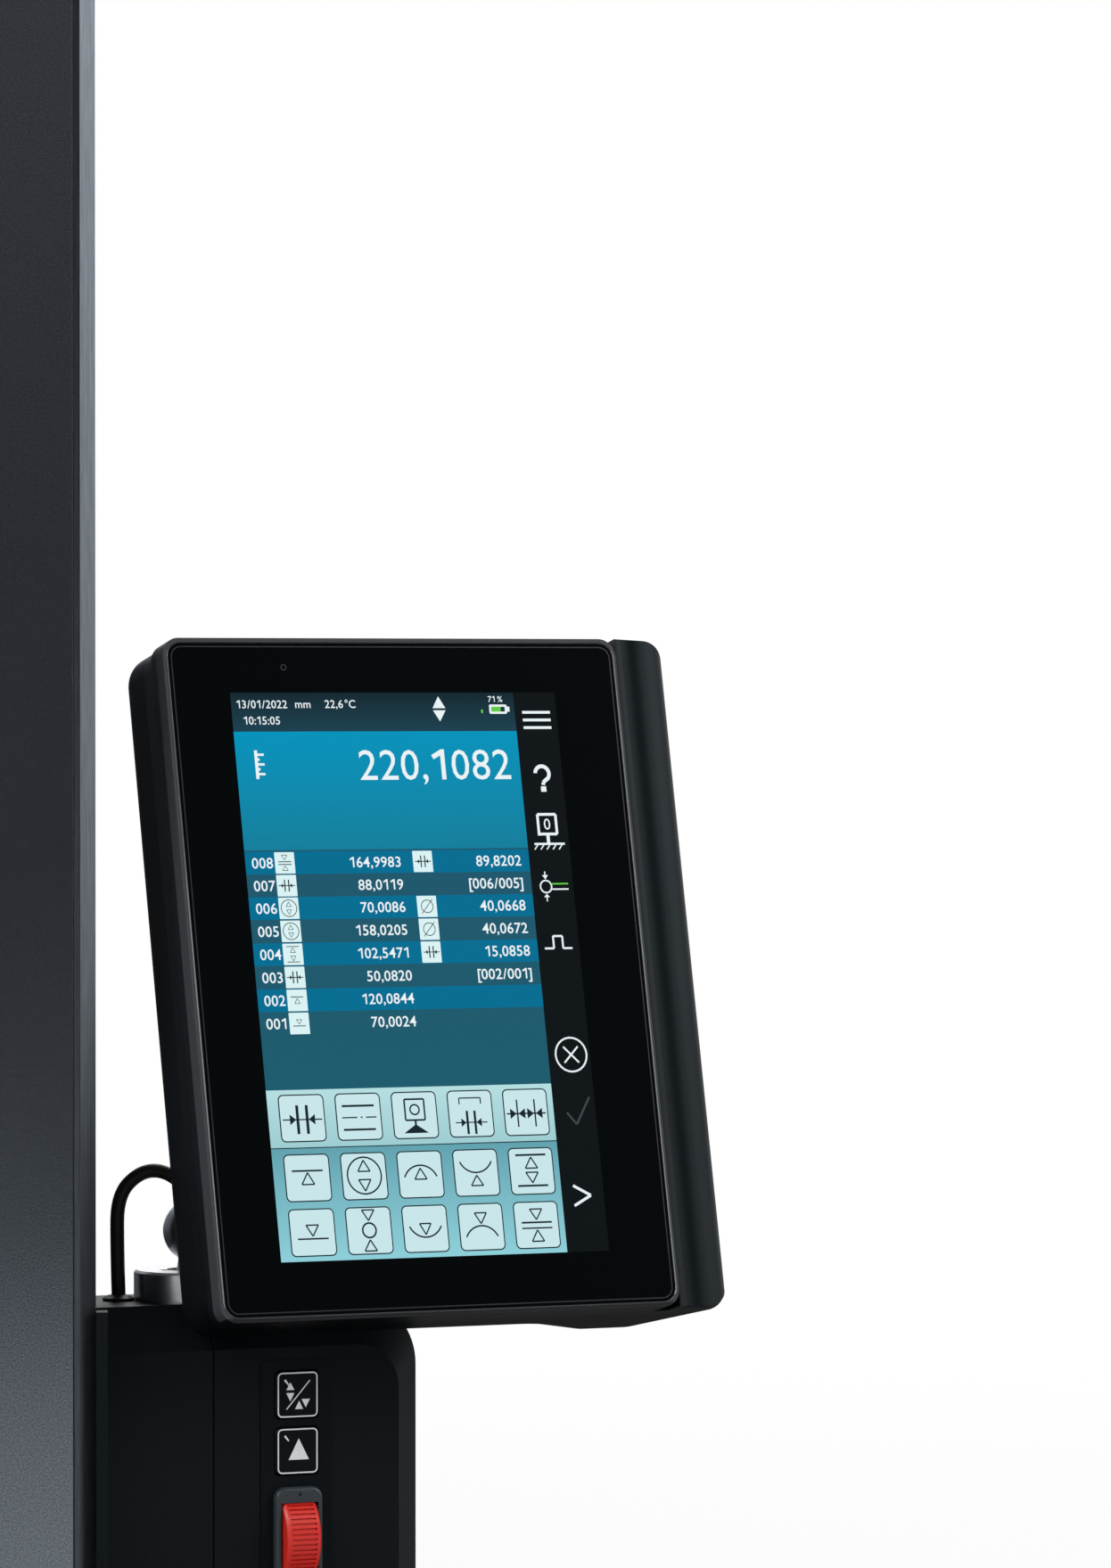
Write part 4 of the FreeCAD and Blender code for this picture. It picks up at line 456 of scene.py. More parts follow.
# This dark colour is both the case's black behind the frame and the painted shade on the lip.
satin_mix.inputs[7].default_value = (0.004, 0.0055, 0.007, 1)
wire(frame_satin, satin_mix, 2, shader_of(frame_satin), "Base Color")
dress(frame_satin, "display_front_frame")
black_glass = finish_of("cover_glass", (0.0008, 0.0012, 0.0015), 0.05, shine=0.4, tint=COOL_GLOSS)
smear = add_node(black_glass, "ShaderNodeTexNoise", Scale=9.0, Detail=2.0)
wire(black_glass, add_node(black_glass, "ShaderNodeTexCoord"), "Object", smear, "Vector")
smear_span = mapped(black_glass, smear, "Fac", lowest=0.035, highest=0.075)
wire(black_glass, smear_span, "Result", shader_of(black_glass), "Roughness")
dress(black_glass, "cover_glass")
dress(socket_black, "lcd_panel")
GLASS_INSET = 0.001
GLASS_CORNER = (BALL + CASE_RIGHT * (GLASS_INSET - CASE_LEFT) + CASE_UP * (GLASS_INSET - CASE_BELOW)
                - CASE_BACK * CASE_FRONT)
GLASS_WIDE, GLASS_HIGH, GLASS_ROUND = 130.0, 179.5, 4.2
PRINT_GAP = 1.2
BEAD_GAP, BEAD_WIDE, BEAD_RISE = 0.1, 0.44, 0.3
ground_edge = grained(finish_of("ground_glass_edge", (0.2, 0.207, 0.216), 0.2, metal=0.8), 0.0004, 0.000004,
                      ((0.17, 0.177, 0.186), (0.23, 0.237, 0.246)))
# A thin bead round the glass: it rises to half its width and falls again.
bead_outline = flat_polygon(corners_of(-BEAD_GAP, -BEAD_GAP, GLASS_WIDE + BEAD_GAP, GLASS_HIGH + BEAD_GAP,
                                       GLASS_ROUND + BEAD_GAP))
glass_bead = rim_of(bead_outline, (BEAD_WIDE / 2, BEAD_RISE), (BEAD_WIDE / 2, -BEAD_RISE))
lay_on(glass_bead, "glass_edge", GLASS_CORNER, CASE_RIGHT, CASE_UP, ground_edge, "display")
print_line = grained(finish_of("glass_print_line", (0.014, 0.017, 0.02), 0.3), 0.0003, 0.000004,
                     ((0.012, 0.015, 0.018), (0.017, 0.02, 0.023)))
print_frame = framed(PRINT_GAP, PRINT_GAP, GLASS_WIDE - PRINT_GAP, GLASS_HIGH - PRINT_GAP,
                     GLASS_ROUND - PRINT_GAP, 0.3)
lay_on(print_frame, "glass_print_line", GLASS_CORNER, CASE_RIGHT, CASE_UP, print_line, "display")
black_rubber = grained(finish_of("black_rubber", (0.007, 0.007, 0.0075), 0.5, shine=0.35), 0.0004, 0.00001,
                       ((0.006, 0.006, 0.0065), (0.009, 0.009, 0.0095)))
dress(black_rubber, "cable_grommet", "display_gland")

# Screen: the lit picture of the panel, as thin layers just in front of the glass. It is laid out in
# drawing units a little under a millimetre from the lit area's lower left corner, with plain numbers and
# pictograms of measuring tasks.
PICTURE_LEFT, PICTURE_BELOW = 0.0043, 0.016
PANEL_CORNER = BALL + CASE_RIGHT * PICTURE_LEFT - CASE_UP * PICTURE_BELOW - CASE_BACK * CASE_FRONT
LAYER = 0.04
FRONT_LAYER = 4
DRAWN_WIDE, DRAWN_HIGH = 0.965, 0.975


def glowing(name, colour, top=None):
    """A lit screen colour under the glass's gloss, or a fade from it at the bottom to another at the top."""
    made = finish_of(name, (0, 0, 0), 0.06)
    shader = shader_of(made)
    shader.inputs["Emission Strength"].default_value = 1.0
    shader.inputs["Emission Color"].default_value = (*colour, 1)
    place = add_node(made, "ShaderNodeTexCoord")
    spots = add_node(made, "ShaderNodeTexNoise", Scale=5000.0)
    wire(made, place, "Object", spots, "Vector")
    bump = add_node(made, "ShaderNodeBump", Strength=0.02, Distance=0.000001)
    wire(made, spots, "Fac", bump, "Height")
    wire(made, bump, "Normal", shader, "Normal")
    if top:
        low, high, other = top
        height = add_node(made, "ShaderNodeSeparateXYZ")
        wire(made, place, "Object", height, "Vector")
        bottom, end = ((PANEL_CORNER + CASE_UP * edge * DRAWN_HIGH * MM).z for edge in (low, high))
        fade = shade_ramp(made, mapped(made, height, "Z", bottom, end), "Result", (colour, other))
        wire(made, fade, "Color", shader, "Emission Color")
    return made


def plate(x0, y0, x1, y1, level):
    """A plain rectangle of the picture."""
    return flat_polygon([(x0, y0), (x1, y0), (x1, y1), (x0, y1)], level * LAYER)


def soft_plate(x0, y0, x1, y1, radius, level):
    """A rectangle of the picture with rounded corners."""
    return flat_polygon(corners_of(x0, y0, x1, y1, radius), level * LAYER)


SIGN_WIDTHS = {",": 0.33, ":": 0.3, " ": 0.12, "/": 0.5, "[": 0.4, "]": 0.4, "m": 1.12, "°": 0.6,
               "C": 0.95, "%": 1.3}
NUMBER_WIDTH = 0.745
TABLE_WEIGHT, STATUS_WEIGHT = 0.012, 0.01
FLAGGED_ONE = [(0.05, 0), (0.2, 0), (0.2, 1), (0.08, 1), (-0.27, 0.81), (-0.2, 0.67), (0.05, 0.8)]
sign_meshes = {}


def object_from(name, data):
    """A new object in the scene, from a mesh, a curve, a lamp or a lens."""
    made = bpy.data.objects.new(name, data)
    bpy.context.scene.collection.objects.link(made)
    return made


def sign_mesh(sign, weight):
    """One figure as a flat mesh of unit height, its middle at x 0, made once and then kept."""
    if (sign, weight) not in sign_meshes:
        if sign == "1":
            made = flat_polygon(FLAGGED_ONE)
        else:
            bpy.ops.object.select_all(action="DESELECT")
            bpy.ops.object.text_add()
            made = bpy.context.object
            made.data.body = sign
            made.data.align_x = "CENTER"
            made.data.size = 1 / 0.7
            made.data.offset = weight
            made.data.resolution_u = 3
            bpy.ops.object.convert(target="MESH")
            made = bpy.context.object
        sign_meshes[sign, weight] = made.data
        bpy.data.objects.remove(made)
    return sign_meshes[sign, weight]


def figures(text, x, y, height, anchor="LEFT", weight=0.0):
    """Numbers or a unit at an even pitch, as flat mesh, with their middle height at y."""
    widths = [SIGN_WIDTHS.get(sign, NUMBER_WIDTH) * height for sign in text]
    start = x - sum(widths) if anchor == "RIGHT" else x
    placed = []
    for index, (sign, width) in enumerate(zip(text, widths)):
        if sign == " ":
            continue
        made = object_from("figure", sign_mesh(sign, weight).copy())
        place = (start + sum(widths[:index]) + width / 2, y - height / 2, FRONT_LAYER * LAYER)
        made.data.transform(Matrix.Diagonal((height, height, 1, 1)))
        made.data.transform(Matrix.Translation(place))
        placed.append(made)
    return joined(placed)


def line(x0, y0, x1, y1, width, level=FRONT_LAYER):
    """A stroke of a pictogram."""
    return stroke(x0, y0, x1, y1, width, level * LAYER)


def across(x0, x1, y, width, level=FRONT_LAYER):
    """A stroke of a pictogram straight across."""
    return line(x0, y, x1, y, width, level)


def path_of(points, width):
    """Strokes through several points."""
    return [line(*a, *b, width) for a, b in zip(points, points[1:])]


def bow(cx, cy, radius, start, end, width):
    """A bent stroke of a pictogram."""
    return arc(cx, cy, radius, start, end, width, FRONT_LAYER * LAYER)


def solid(*points):
    """A solid shape of a pictogram."""
    return flat_polygon(points, FRONT_LAYER * LAYER)


def open_triangle(x, y, width, height, stroke_width=0.4):
    """A hollow triangle, pointing up for a positive height and down for a negative one."""
    tip = (x, y + height)
    return path_of([(x - width / 2, y), (x + width / 2, y), tip, (x - width / 2, y)], stroke_width)


def arrow_head(x, y, length, half):
    """A solid arrowhead with its tip at x, pointing right for a positive length and left for a negative."""
    tip = [(x, y), (x - length, y + half), (x - length, y - half)]
    return solid(*(tip if length > 0 else tip[::-1]))


def gap_sign(x, y, size=1.0):
    """Two upright bars with an arrowhead on each side of the pair and a thin line through: a distance."""
    return [line(x - 1.4 * size, y - 3.9 * size, x - 1.4 * size, y + 3.9 * size, 0.85 * size),
            line(x + 1.4 * size, y - 3.9 * size, x + 1.4 * size, y + 3.9 * size, 0.85 * size),
            across(x - 5.8 * size, x + 5.8 * size, y, 0.16 + 0.2 * size),
            arrow_head(x - 1.85 * size, y, 1.85 * size, 1.45 * size),
            arrow_head(x + 1.85 * size, y, -1.85 * size, 1.45 * size)]


def ring(x, y, radius, width, level=FRONT_LAYER):
    """A circle line."""
    return [arc(x, y, radius, 0, 360, width, level * LAYER, steps=24)]


def put(pieces, name, made):
    """Join a layer of the picture and lay it on the glass."""
    layer = joined(pieces)
    layer.data.transform(Matrix.Diagonal((DRAWN_WIDE, DRAWN_HIGH, 1, 1)))
    lay_on(layer, name, PANEL_CORNER, CASE_RIGHT, CASE_UP, made, "display")


WIDTH, HEIGHT, BAR = 97.6, 155.2, 84.9
STATUS_LOW, READING_LOW, TABLE_LOW, BANDS_MEET = 144.4, 111.7, 46.3, 30.55
dark_bar = glowing("screen_side_bar", (0.0035, 0.006, 0.0075))
status_tone = glowing("screen_status", (0.011, 0.052, 0.08), (STATUS_LOW, HEIGHT, (0.006, 0.02, 0.028)))
reading_blue = glowing("screen_reading", (0.006, 0.21, 0.33), (READING_LOW, STATUS_LOW, (0.0, 0.29, 0.5)))
slate = glowing("screen_slate", (0.012, 0.105, 0.155), (TABLE_LOW, READING_LOW, (0.014, 0.095, 0.15)))
row_blue = glowing("screen_row_blue", (0.0005, 0.153, 0.288))
band_light = glowing("screen_band_light", (0.34, 0.61, 0.64), (BANDS_MEET, TABLE_LOW, (0.46, 0.73, 0.75)))
band_teal = glowing("screen_band_teal", (0.27, 0.62, 0.69), (0, BANDS_MEET, (0.12, 0.36, 0.43)))
key_pale = glowing("screen_key", (0.58, 0.79, 0.82))
key_clear = glowing("screen_key_clear", (0.7, 0.89, 0.9))
ink_dark = glowing("screen_ink_dark", (0.008, 0.02, 0.026))
ink_white = glowing("screen_ink_white", (0.82, 0.9, 0.92))
ink_grey = glowing("screen_ink_grey", (0.05, 0.06, 0.065))
ink_green = glowing("screen_ink_green", (0.12, 0.6, 0.06))

# Plain areas: the side bar, the status line, the reading, the table and two bands of keys.
put([plate(BAR, 0, WIDTH, HEIGHT, 0)], "screen_side_bar", dark_bar)
for name, bottom, edge, tone in (("screen_status_area", STATUS_LOW, HEIGHT, status_tone),
                                 ("screen_reading_area", READING_LOW, STATUS_LOW, reading_blue),
                                 ("screen_table_area", TABLE_LOW, READING_LOW, slate),
                                 ("screen_upper_band", BANDS_MEET, TABLE_LOW, band_light),
                                 ("screen_lower_band", 0, BANDS_MEET, band_teal)):
    put([plate(0, bottom, BAR, edge, 0)], name, tone)

# Table: eight rows of numbers, each with one or two signs in pale boxes.
ROWS = [108.2, 101.95, 95.75, 89.45, 83.15, 76.85, 70.6, 64.3]
ROW_HALF, BOX_HALF = 3.1, 2.93
LEFT_BOX, RIGHT_BOX = (8.65, 14.5), (49.75, 55.6)
put([plate(0, y - ROW_HALF, BAR, y + ROW_HALF, 1) for y in ROWS[0:7:2]], "screen_blue_rows", row_blue)
boxes = [(LEFT_BOX, y) for y in ROWS] + [(RIGHT_BOX, y) for y in (ROWS[0], *ROWS[2:5])]
put([soft_plate(start, y - BOX_HALF, end, y + BOX_HALF, 0.2, 2) for (start, end), y in boxes],
    "screen_sign_boxes", key_clear)

table = []
VALUES = ["164,9983", "88,0119", "70,0086", "158,0205", "102,5471", "50,0820", "120,0844", "70,0024"]
OTHERS = ["89,8202", "[006/005]", "40,0668", "40,0672", "15,0858", "[002/001]", None, None]
for number, (y, value, other) in enumerate(zip(ROWS, VALUES, OTHERS)):
    table.append(figures(f"{len(ROWS) - number:03d}", 1.7, y, 2.9, weight=TABLE_WEIGHT))
    table.append(figures(value, 46.3, y, 2.85, anchor="RIGHT", weight=TABLE_WEIGHT))
    if other:
        table.append(figures(other, 82.5, y, 2.9, anchor="RIGHT", weight=TABLE_WEIGHT))
put(table, "screen_table_numbers", ink_white)

signs = []
LEFT_SIGN, RIGHT_SIGN = 11.55, 52.7
signs += open_triangle(LEFT_SIGN, ROWS[0] + 2.1, 1.7, -1.3, 0.16)
signs += open_triangle(LEFT_SIGN, ROWS[0] - 2.1, 1.7, 1.3, 0.16)
signs += [across(9.6, 13.5, ROWS[0] + height, 0.25) for height in (0.3, -0.45)]
for x, y in ((RIGHT_SIGN, ROWS[0]), (LEFT_SIGN, ROWS[1]), (RIGHT_SIGN, ROWS[4]), (LEFT_SIGN, ROWS[5])):
    signs += gap_sign(x, y, 0.42)
for y in ROWS[2:4]:
    signs += ring(LEFT_SIGN, y, 2.3, 0.22)
    signs += open_triangle(LEFT_SIGN, y + 0.45, 1.5, 1.25, 0.16)
    signs += open_triangle(LEFT_SIGN, y - 0.45, 1.5, -1.25, 0.16)
    signs += ring(RIGHT_SIGN, y, 1.75, 0.22) + [line(RIGHT_SIGN - 1.7, y - 2, RIGHT_SIGN + 1.7, y + 2, 0.2)]
signs += [across(9.7, 13.4, ROWS[4] + height, 0.22) for height in (2.1, -2.1)]
signs += open_triangle(LEFT_SIGN, ROWS[4] + 0.5, 1.6, 1.3, 0.16)
signs += open_triangle(LEFT_SIGN, ROWS[4] - 0.5, 1.6, -1.3, 0.16)
signs += [across(9.7, 13.4, ROWS[6] + 0.9, 0.24)]
signs += open_triangle(LEFT_SIGN, ROWS[6] - 0.9, 1.6, 1.4, 0.16)
signs += open_triangle(LEFT_SIGN, ROWS[7] + 1.0, 1.6, -1.3, 0.16)
signs += [across(9.7, 13.4, ROWS[7] - 0.7, 0.24)]
put(signs, "screen_table_signs", ink_dark)

# Status line and reading, with a battery, two arrowheads and a short scale as signs.
head = [figures(words, x, y, height, weight=STATUS_WEIGHT)
        for words, x, y, height in (("13/01/2022", 1.3, 151.95, 2.2), ("10:15:05", 3.0, 147.45, 2.2),
                                    ("mm", 18.7, 152.0, 2.2), ("22,6 °C", 27.6, 152.0, 2.2),
                                    ("71 %", 76.9, 153.35, 1.65))]
head += [solid((60.0, 150.8), (63.85, 150.8), (61.95, 154.1)),
         solid((63.85, 150.2), (60.05, 150.2), (61.9, 147.1))]
head += [framed(77.15, 149.2, 82.5, 151.8, 0.4, 0.62, FRONT_LAYER * LAYER),
         plate(82.5, 149.8, 83.3, 151.2, FRONT_LAYER)]
head += [figures("220,1082", 82.4, 135.1, 8.4, anchor="RIGHT")]
head += [line(5.9, 131.3, 5.9, 139.2, 0.9)]
head += [across(6.0, 6.9 + 1.35 * (1 - step % 2), 132.64 + 1.34 * step, 0.62) for step in range(5)]
put(head, "screen_reading_numbers", ink_white)
put([plate(77.77, 149.82, 80.6, 151.18, 5), soft_plate(74.6, 149.4, 75.2, 150.4, 0.2, FRONT_LAYER)],
    "screen_battery_fill", ink_green)

# Keys: three rows of five with dark edges, each with a pictogram.
KEYS_X = [9.9 + 16.65 * step for step in range(5)]
KEYS_Y = (38.6, 22.45, 7.7)
top, middle, low = KEYS_Y
a, b, c, d, e = KEYS_X
KEY_HALF_WIDE, KEY_HALF_HIGH, KEY_LINE = 6.38, 6.12, 0.34
KEY_ROUND, EDGE_ROUND = 1.2, 1.5


def key_plates(grow, radius, level):
    """The fifteen keys of the screen as rounded plates, larger by grow on each side."""
    wide, high = KEY_HALF_WIDE + grow, KEY_HALF_HIGH + grow
    return [soft_plate(x - wide, y - high, x + wide, y + high, radius, level) for x in KEYS_X for y in KEYS_Y]


put(key_plates(KEY_LINE, EDGE_ROUND, 1) + [across(0, BAR, BANDS_MEET, 0.28, 1)],
    "screen_key_edges", ink_dark)
put(key_plates(0, KEY_ROUND, 2), "screen_keys", key_pale)
marks = gap_sign(a, top - 0.4)
marks += [across(b - 4.8, b + 4.7, top + height, 0.58) for height in (2.95, -3.5)]
marks += [across(b + start, b + end, top - 0.2, width)
          for start, end, width in ((-5.0, -0.5, 0.36), (0.5, 1.05, 0.4), (2.05, 5.2, 0.36))]
marks += path_of([(c - 2.9, top - 1.35), (c + 2.9, top - 1.35), (c + 2.9, top + 4.35), (c - 2.9, top + 4.35),
                  (c - 2.9, top - 1.35)], 0.5)
marks += ring(c, top + 1.5, 1.35, 0.45) + [line(c, top - 1.35, c, top - 3.0, 0.6)]
marks += [solid((c - 3.7, top - 4.9), (c + 3.7, top - 4.9), (c, top - 2.5))]
marks += gap_sign(d, top - 2.4, 0.82)
marks += path_of([(d - 3.2, top + 2.6), (d - 3.2, top + 4.3), (d + 3.2, top + 4.3), (d + 3.2, top + 2.6)],
                 0.36)
marks += [line(e + side, top - 4.0, e + side, top + 3.5, 0.45) for side in (-2.6, 2.65)]
marks += [arrow_head(e + side, top - 0.35, length, 1.45)
          for side, length in ((-2.9, 1.9), (-2.3, -2.0), (2.35, 2.0), (2.95, -1.9))]
marks += [across(e - 5.9, e + 5.9, top - 0.35, 0.4)]
marks += [across(a - 4.53, a + 4.53, middle + 1.9, 0.5)] + open_triangle(a, middle - 1.8, 3.7, 3.2)
marks += ring(b, middle + 0.15, 5.0, 0.45) + open_triangle(b, middle + 1.3, 3.6, 3.0)
marks += open_triangle(b, middle - 0.95, 3.6, -3.1)
marks += [bow(c, middle - 2.7, 5.2, 23, 157, 0.45)] + open_triangle(c, middle - 1.3, 3.6, 3.0)
marks += [bow(d, middle + 5.25, 5.2, 205, 335, 0.45)] + open_triangle(d, middle - 3.5, 3.6, 2.8)
marks += [across(e - 4.55, e + 4.55, middle + height, 0.55) for height in (4.42, -4.0)]
marks += open_triangle(e, middle + 0.8, 3.7, 3.0) + open_triangle(e, middle - 0.35, 3.7, -2.9)
marks += open_triangle(a, low + 2.0, 3.65, -3.0) + [across(a - 4.5, a + 4.5, low - 1.7, 0.45)]
marks += open_triangle(b, low + 5.6, 3.65, -2.9) + ring(b, low + 0.08, 1.98, 0.5)
marks += open_triangle(b, low - 5.5, 3.65, 3.0)
marks += [bow(c, low + 2.9, 5.2, 205, 335, 0.45)] + open_triangle(c, low + 1.4, 3.4, -3.0)
marks += open_triangle(d, low + 3.8, 3.6, -2.95) + [bow(d, low - 4.9, 5.2, 25, 155, 0.45)]
marks += open_triangle(e, low + 4.35, 3.7, -2.9) + [across(e - 4.55, e + 4.55, low + 0.7, 0.5)]
marks += [across(e - 4.55, e + 4.55, low - 0.85, 0.42)] + open_triangle(e, low - 4.45, 3.65, 3.1)
put(marks, "screen_key_marks", ink_dark)

# Side bar: signs for a list, help, a zero, a probe, a step, a cross, a tick and an arrow.
bar = [across(87.1, 95.6, y, 0.75) for y in (149.6, 147.45, 145.3)]
bar += [bow(91.35, 132.35, 2.1, -50, 175, 1.05), plate(90.6, 127.3, 92.2, 128.8, FRONT_LAYER)]
bar += path_of([(92.85, 131.0), (91.5, 129.95), (91.4, 129.2)], 1.05)
bar += path_of([(88.65, 115.45), (94.15, 115.45), (94.15, 120.95), (88.65, 120.95), (88.65, 115.05)], 0.75)
bar += [figures("0", 90.2, 118.25, 3.1), line(91.3, 115.1, 91.3, 112.7, 0.95),
        across(86.95, 96.2, 112.7, 0.6)]
bar += [line(86.9 + 1.85 * step, 111.15, 87.9 + 1.85 * step, 112.4, 0.35) for step in range(5)]
bar += ring(89.2, 100.8, 1.7, 0.42) + [across(91.0, 96.0, 100.05, 0.42)]
bar += [solid((88.3, 104.0), (90.1, 104.0), (89.2, 102.8)),
        solid((90.1, 97.85), (88.3, 97.85), (89.2, 98.75))]
bar += [line(89.2, 105.0, 89.2, 103.9, 0.35), line(89.2, 96.7, 89.2, 97.9, 0.35)]
bar += path_of([(87.0, 83.6), (89.8, 83.6), (89.8, 87.0), (92.6, 87.0), (92.6, 83.6), (95.4, 83.6)], 0.55)
bar += ring(91.8, 54.1, 4.7, 0.5) + [line(89.6, 51.9, 94.0, 56.3, 0.5), line(89.6, 56.3, 94.0, 51.9, 0.5)]
bar += path_of([(88.5, 18.1), (93.6, 15.3), (88.4, 12.6)], 0.75)
put(bar, "screen_bar_signs", ink_white)
put(path_of([(88.8, 38.2), (91.5, 34.9), (96.0, 42.3)], 0.6) + ring(16.5, 162.2, 0.75, 0.2, 1),
    "screen_faint_signs", ink_grey)
put([across(91.1, 96.0, 101.55, 0.42)], "screen_green_sign", ink_green)
for kept in sign_meshes.values():
    bpy.data.meshes.remove(kept)

# Display cable: a short black lead from the grommet on the handle up beside the ball, over in a tight
# bend and down behind the case into its gland. The route repeats the points of the CAD model.
CABLE_WIDTH = 0.0037
CABLE_ROUTE = [
    (0.05139, -0.01367, 0.2316), (0.0510, -0.0135, 0.2444), (0.0511, -0.0139, 0.2578),
    (0.0568, -0.0147, 0.2640), (0.0633, -0.0162, 0.2647), (0.0698, -0.0186, 0.2598),
    (0.0786, -0.0176, 0.2578), (0.08622, -0.01465, 0.25778)]


def curve_through(name, kind, places):
    """A new curve of one line, with its points at some places."""
    curve = bpy.data.curves.new(name, "CURVE")
    curve.dimensions = "3D"
    strand = curve.splines.new(kind)
    strand.points.add(len(places) - 1)
    for point, place in zip(strand.points, places):
        point.co = (*place, 1)
    return curve


route = curve_through("cable_route", "NURBS", CABLE_ROUTE)
route.resolution_u = 12
route.splines[0].order_u = 3
route.splines[0].use_endpoint_u = True
route_object = object_from("cable_route", route)
bpy.context.view_layer.update()
centre_line = [vertex.co.copy() for vertex in bpy.data.meshes.new_from_object(route_object).vertices]
bpy.data.objects.remove(route_object)


def cable_half(name, points):
    """One half of the lead: a round tube along points read from the route."""
    curve = curve_through(name, "POLY", points)
    curve.bevel_depth = CABLE_WIDTH / 2
    curve.bevel_resolution = 6
    curve.use_fill_caps = True
    select_only(object_from(name, curve))
    bpy.ops.object.convert(target="MESH")
    made = bpy.context.object
    bpy.ops.object.shade_smooth()
    paint(made.data, black_rubber)
    return made


def length_of(points):
    """The length of a line through points."""
    return sum((b - a).length for a, b in zip(points, points[1:]))


halfway = min(range(1, len(centre_line) - 1),
              key=lambda index: abs(length_of(centre_line[:index + 1]) - length_of(centre_line[index:])))
lower_points, upper_points = centre_line[:halfway + 1], centre_line[halfway:]
cable_lower = cable_half("cable_lower", lower_points)
cable_upper = cable_half("cable_upper", upper_points)
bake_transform(cable_lower)
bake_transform(cable_upper)
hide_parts("display_cable")
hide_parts("display_cable")

# Studio: a pale floor that is seen plain white far off and mirrors dark except in front, three soft lamps,
# and a room that is bright behind and beside the object and dim on the camera's side, seen plain white.
FLOOR_SIZE, FLOOR_BACK = 12, 3.4
MIRRORED_DARK, ROOM_DIM, ROOM_LOW_GLOW, ROOM_LIGHT = 0.1, 0.06, 0.21, 0.5
bpy.ops.object.select_all(action="DESELECT")
bpy.ops.mesh.primitive_plane_add(size=FLOOR_SIZE, location=(0, FLOOR_BACK, 0))
floor = bpy.context.object
floor.name = "floor"
floor_pale = grained(finish_of("floor_pale", (0.78, 0.78, 0.79), 0.6, shine=0.2), 0.004, 0.00002,
                     ((0.77, 0.77, 0.78), (0.79, 0.79, 0.8)))
floor.data.materials.append(floor_pale)
floor_place = add_node(floor_pale, "ShaderNodeNewGeometry")
floor_reach = add_node(floor_pale, "ShaderNodeVectorMath", operation="LENGTH")
wire(floor_pale, floor_place, "Position", floor_reach, 0)
floor_parts = add_node(floor_pale, "ShaderNodeSeparateXYZ")
wire(floor_pale, floor_place, "Position", floor_parts, 0)
in_front = mapped(floor_pale, floor_parts, "Y", -0.5, -1.0, kind="SMOOTHSTEP")
far_off = mapped(floor_pale, floor_reach, "Value", 0.8, 2.4, kind="SMOOTHSTEP")
near_by = mapped(floor_pale, floor_reach, "Value", 2.8, 2.0, kind="SMOOTHSTEP")
floor_rays = add_node(floor_pale, "ShaderNodeLightPath")
seen_far = combined(floor_pale, "MULTIPLY", (floor_rays, "Is Camera Ray"), (far_off, "Result"))
front_white = combined(floor_pale, "MULTIPLY", (in_front, "Result"), (near_by, "Result"))
mirror_tone = add_node(floor_pale, "ShaderNodeEmission")
mirror_level = mapped(floor_pale, front_white, "Value", lowest=MIRRORED_DARK)
wire(floor_pale, mirror_level, "Result", mirror_tone, "Strength")


def mixed_shader(made, share, first, second):
    """One surface shader from two, by a share; each is given as a node and the name of its output."""
    mix = add_node(made, "ShaderNodeMixShader")
    for entry, (node, output) in enumerate((share, first, second)):
        wire(made, node, output, mix, entry)
    return mix


white_glow = add_node(floor_pale, "ShaderNodeEmission")
floor_mix = mixed_shader(floor_pale, (seen_far, "Value"), (shader_of(floor_pale), "BSDF"),
                         (white_glow, "Emission"))
mirror_mix = mixed_shader(floor_pale, (floor_rays, "Is Glossy Ray"), (floor_mix, "Shader"),
                          (mirror_tone, "Emission"))
wire(floor_pale, mirror_mix, "Shader", floor_pale.node_tree.nodes["Material Output"], "Surface")


def soft_lamp(name, place, aim, width, power):
    """A square soft lamp that faces a point."""
    lamp = bpy.data.lights.new(name, "AREA")
    lamp.size = width
    lamp.energy = power
    made = object_from(name, lamp)
    made.location = place
    made.rotation_euler = (Vector(aim) - Vector(place)).to_track_quat("-Z", "Y").to_euler()


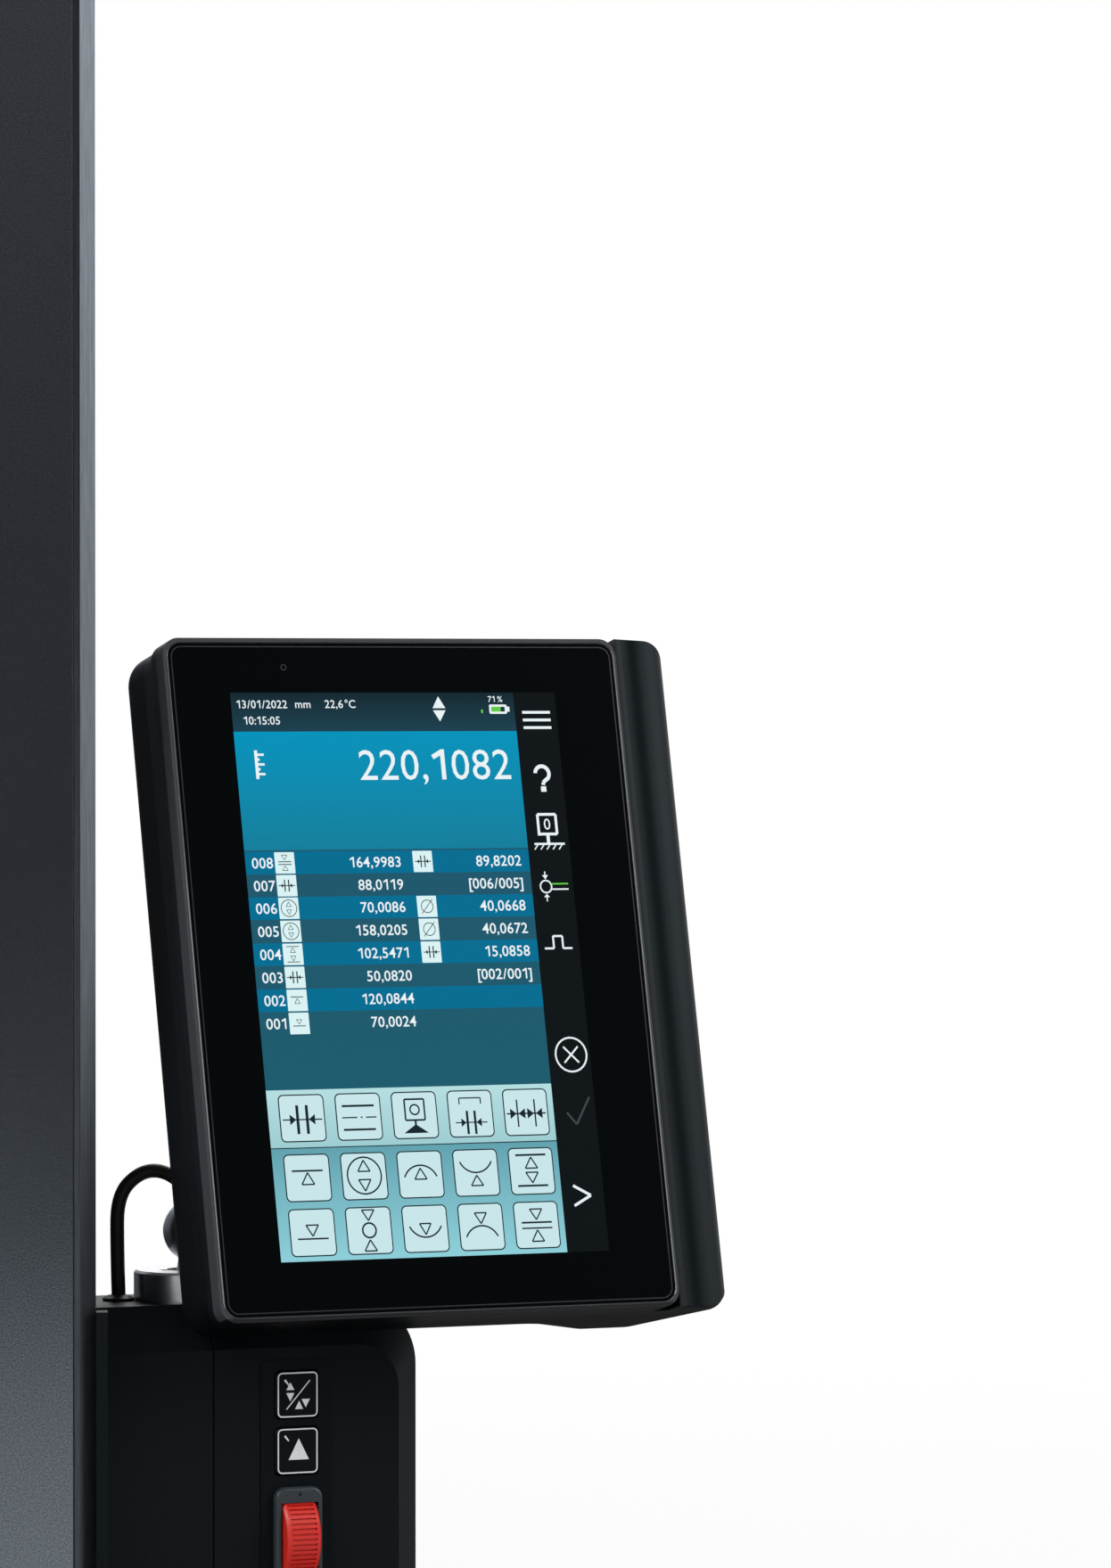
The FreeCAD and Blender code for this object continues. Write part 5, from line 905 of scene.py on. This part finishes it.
soft_lamp("key_lamp", (-1.9, -1.7, 2.2), (0.05, 0, 0.35), 1.4, 55)
soft_lamp("side_lamp", (2.4, -0.6, 1.6), (0.1, 0, 0.35), 1.2, 30)
soft_lamp("rear_lamp", (0.6, 2.4, 2.4), (0.0, 0, 0.4), 1.6, 40)
room = bpy.data.worlds.new("room")
room.use_nodes = True
bpy.context.scene.world = room
shade = room.node_tree.nodes["Background"]
shade.inputs["Color"].default_value = (1, 1, 1, 1)
parts = add_node(room, "ShaderNodeSeparateXYZ")
wire(room, add_node(room, "ShaderNodeTexCoord"), "Generated", parts, "Vector")
back_and_sides = mapped(room, parts, "Y", -0.66, -0.05, ROOM_DIM, 1.0, kind="SMOOTHSTEP")
left_side = mapped(room, parts, "X", -0.48, -0.7, kind="SMOOTHSTEP")
low_glow = shade_ramp(room, parts, "Z", ((0, 0, 0), (0, 0, 0)), 0.0, 0.3)
low_glow.color_ramp.interpolation = "EASE"
low_glow.color_ramp.elements.new(0.11).color = (ROOM_LOW_GLOW, ROOM_LOW_GLOW, ROOM_LOW_GLOW, 1)
lit_low = combined(room, "MAXIMUM", (back_and_sides, "Result"), (low_glow, "Color"))
lit_sides = combined(room, "MAXIMUM", (lit_low, "Value"), (left_side, "Result"))
rays = add_node(room, "ShaderNodeLightPath")
mirror = combined(room, "MAXIMUM", (rays, "Is Glossy Ray"), (rays, "Is Transmission Ray"))
reflected = add_node(room, "ShaderNodeMix", A=ROOM_LIGHT)
wire(room, mirror, "Value", reflected, "Factor")
wire(room, lit_sides, "Value", reflected, "B")
seen = add_node(room, "ShaderNodeMix", B=1.0)
wire(room, rays, "Is Camera Ray", seen, "Factor")
wire(room, reflected, "Result", seen, "A")
wire(room, seen, "Result", shade, "Strength")
bpy.context.scene.view_settings.view_transform = "Standard"

# Camera: level with the middle of the column, far off and turned a little to the right, with a long lens.
FOCAL_LENGTH, SENSOR_HEIGHT = 169.98, 36
CAMERA_PLACE = (0.01984, -1.9673, 0.39119)
CAMERA_DIP, CAMERA_TURN = 0.732, 4.305
lens = bpy.data.cameras.new("camera")
lens.sensor_fit = "VERTICAL"
lens.sensor_height = SENSOR_HEIGHT
lens.lens = FOCAL_LENGTH
lens.clip_start = 0.05
lens.clip_end = 60
camera = object_from("camera", lens)
camera.location = CAMERA_PLACE
camera.rotation_euler = (math.radians(90 - CAMERA_DIP), 0, math.radians(-CAMERA_TURN))
bpy.context.scene.camera = camera
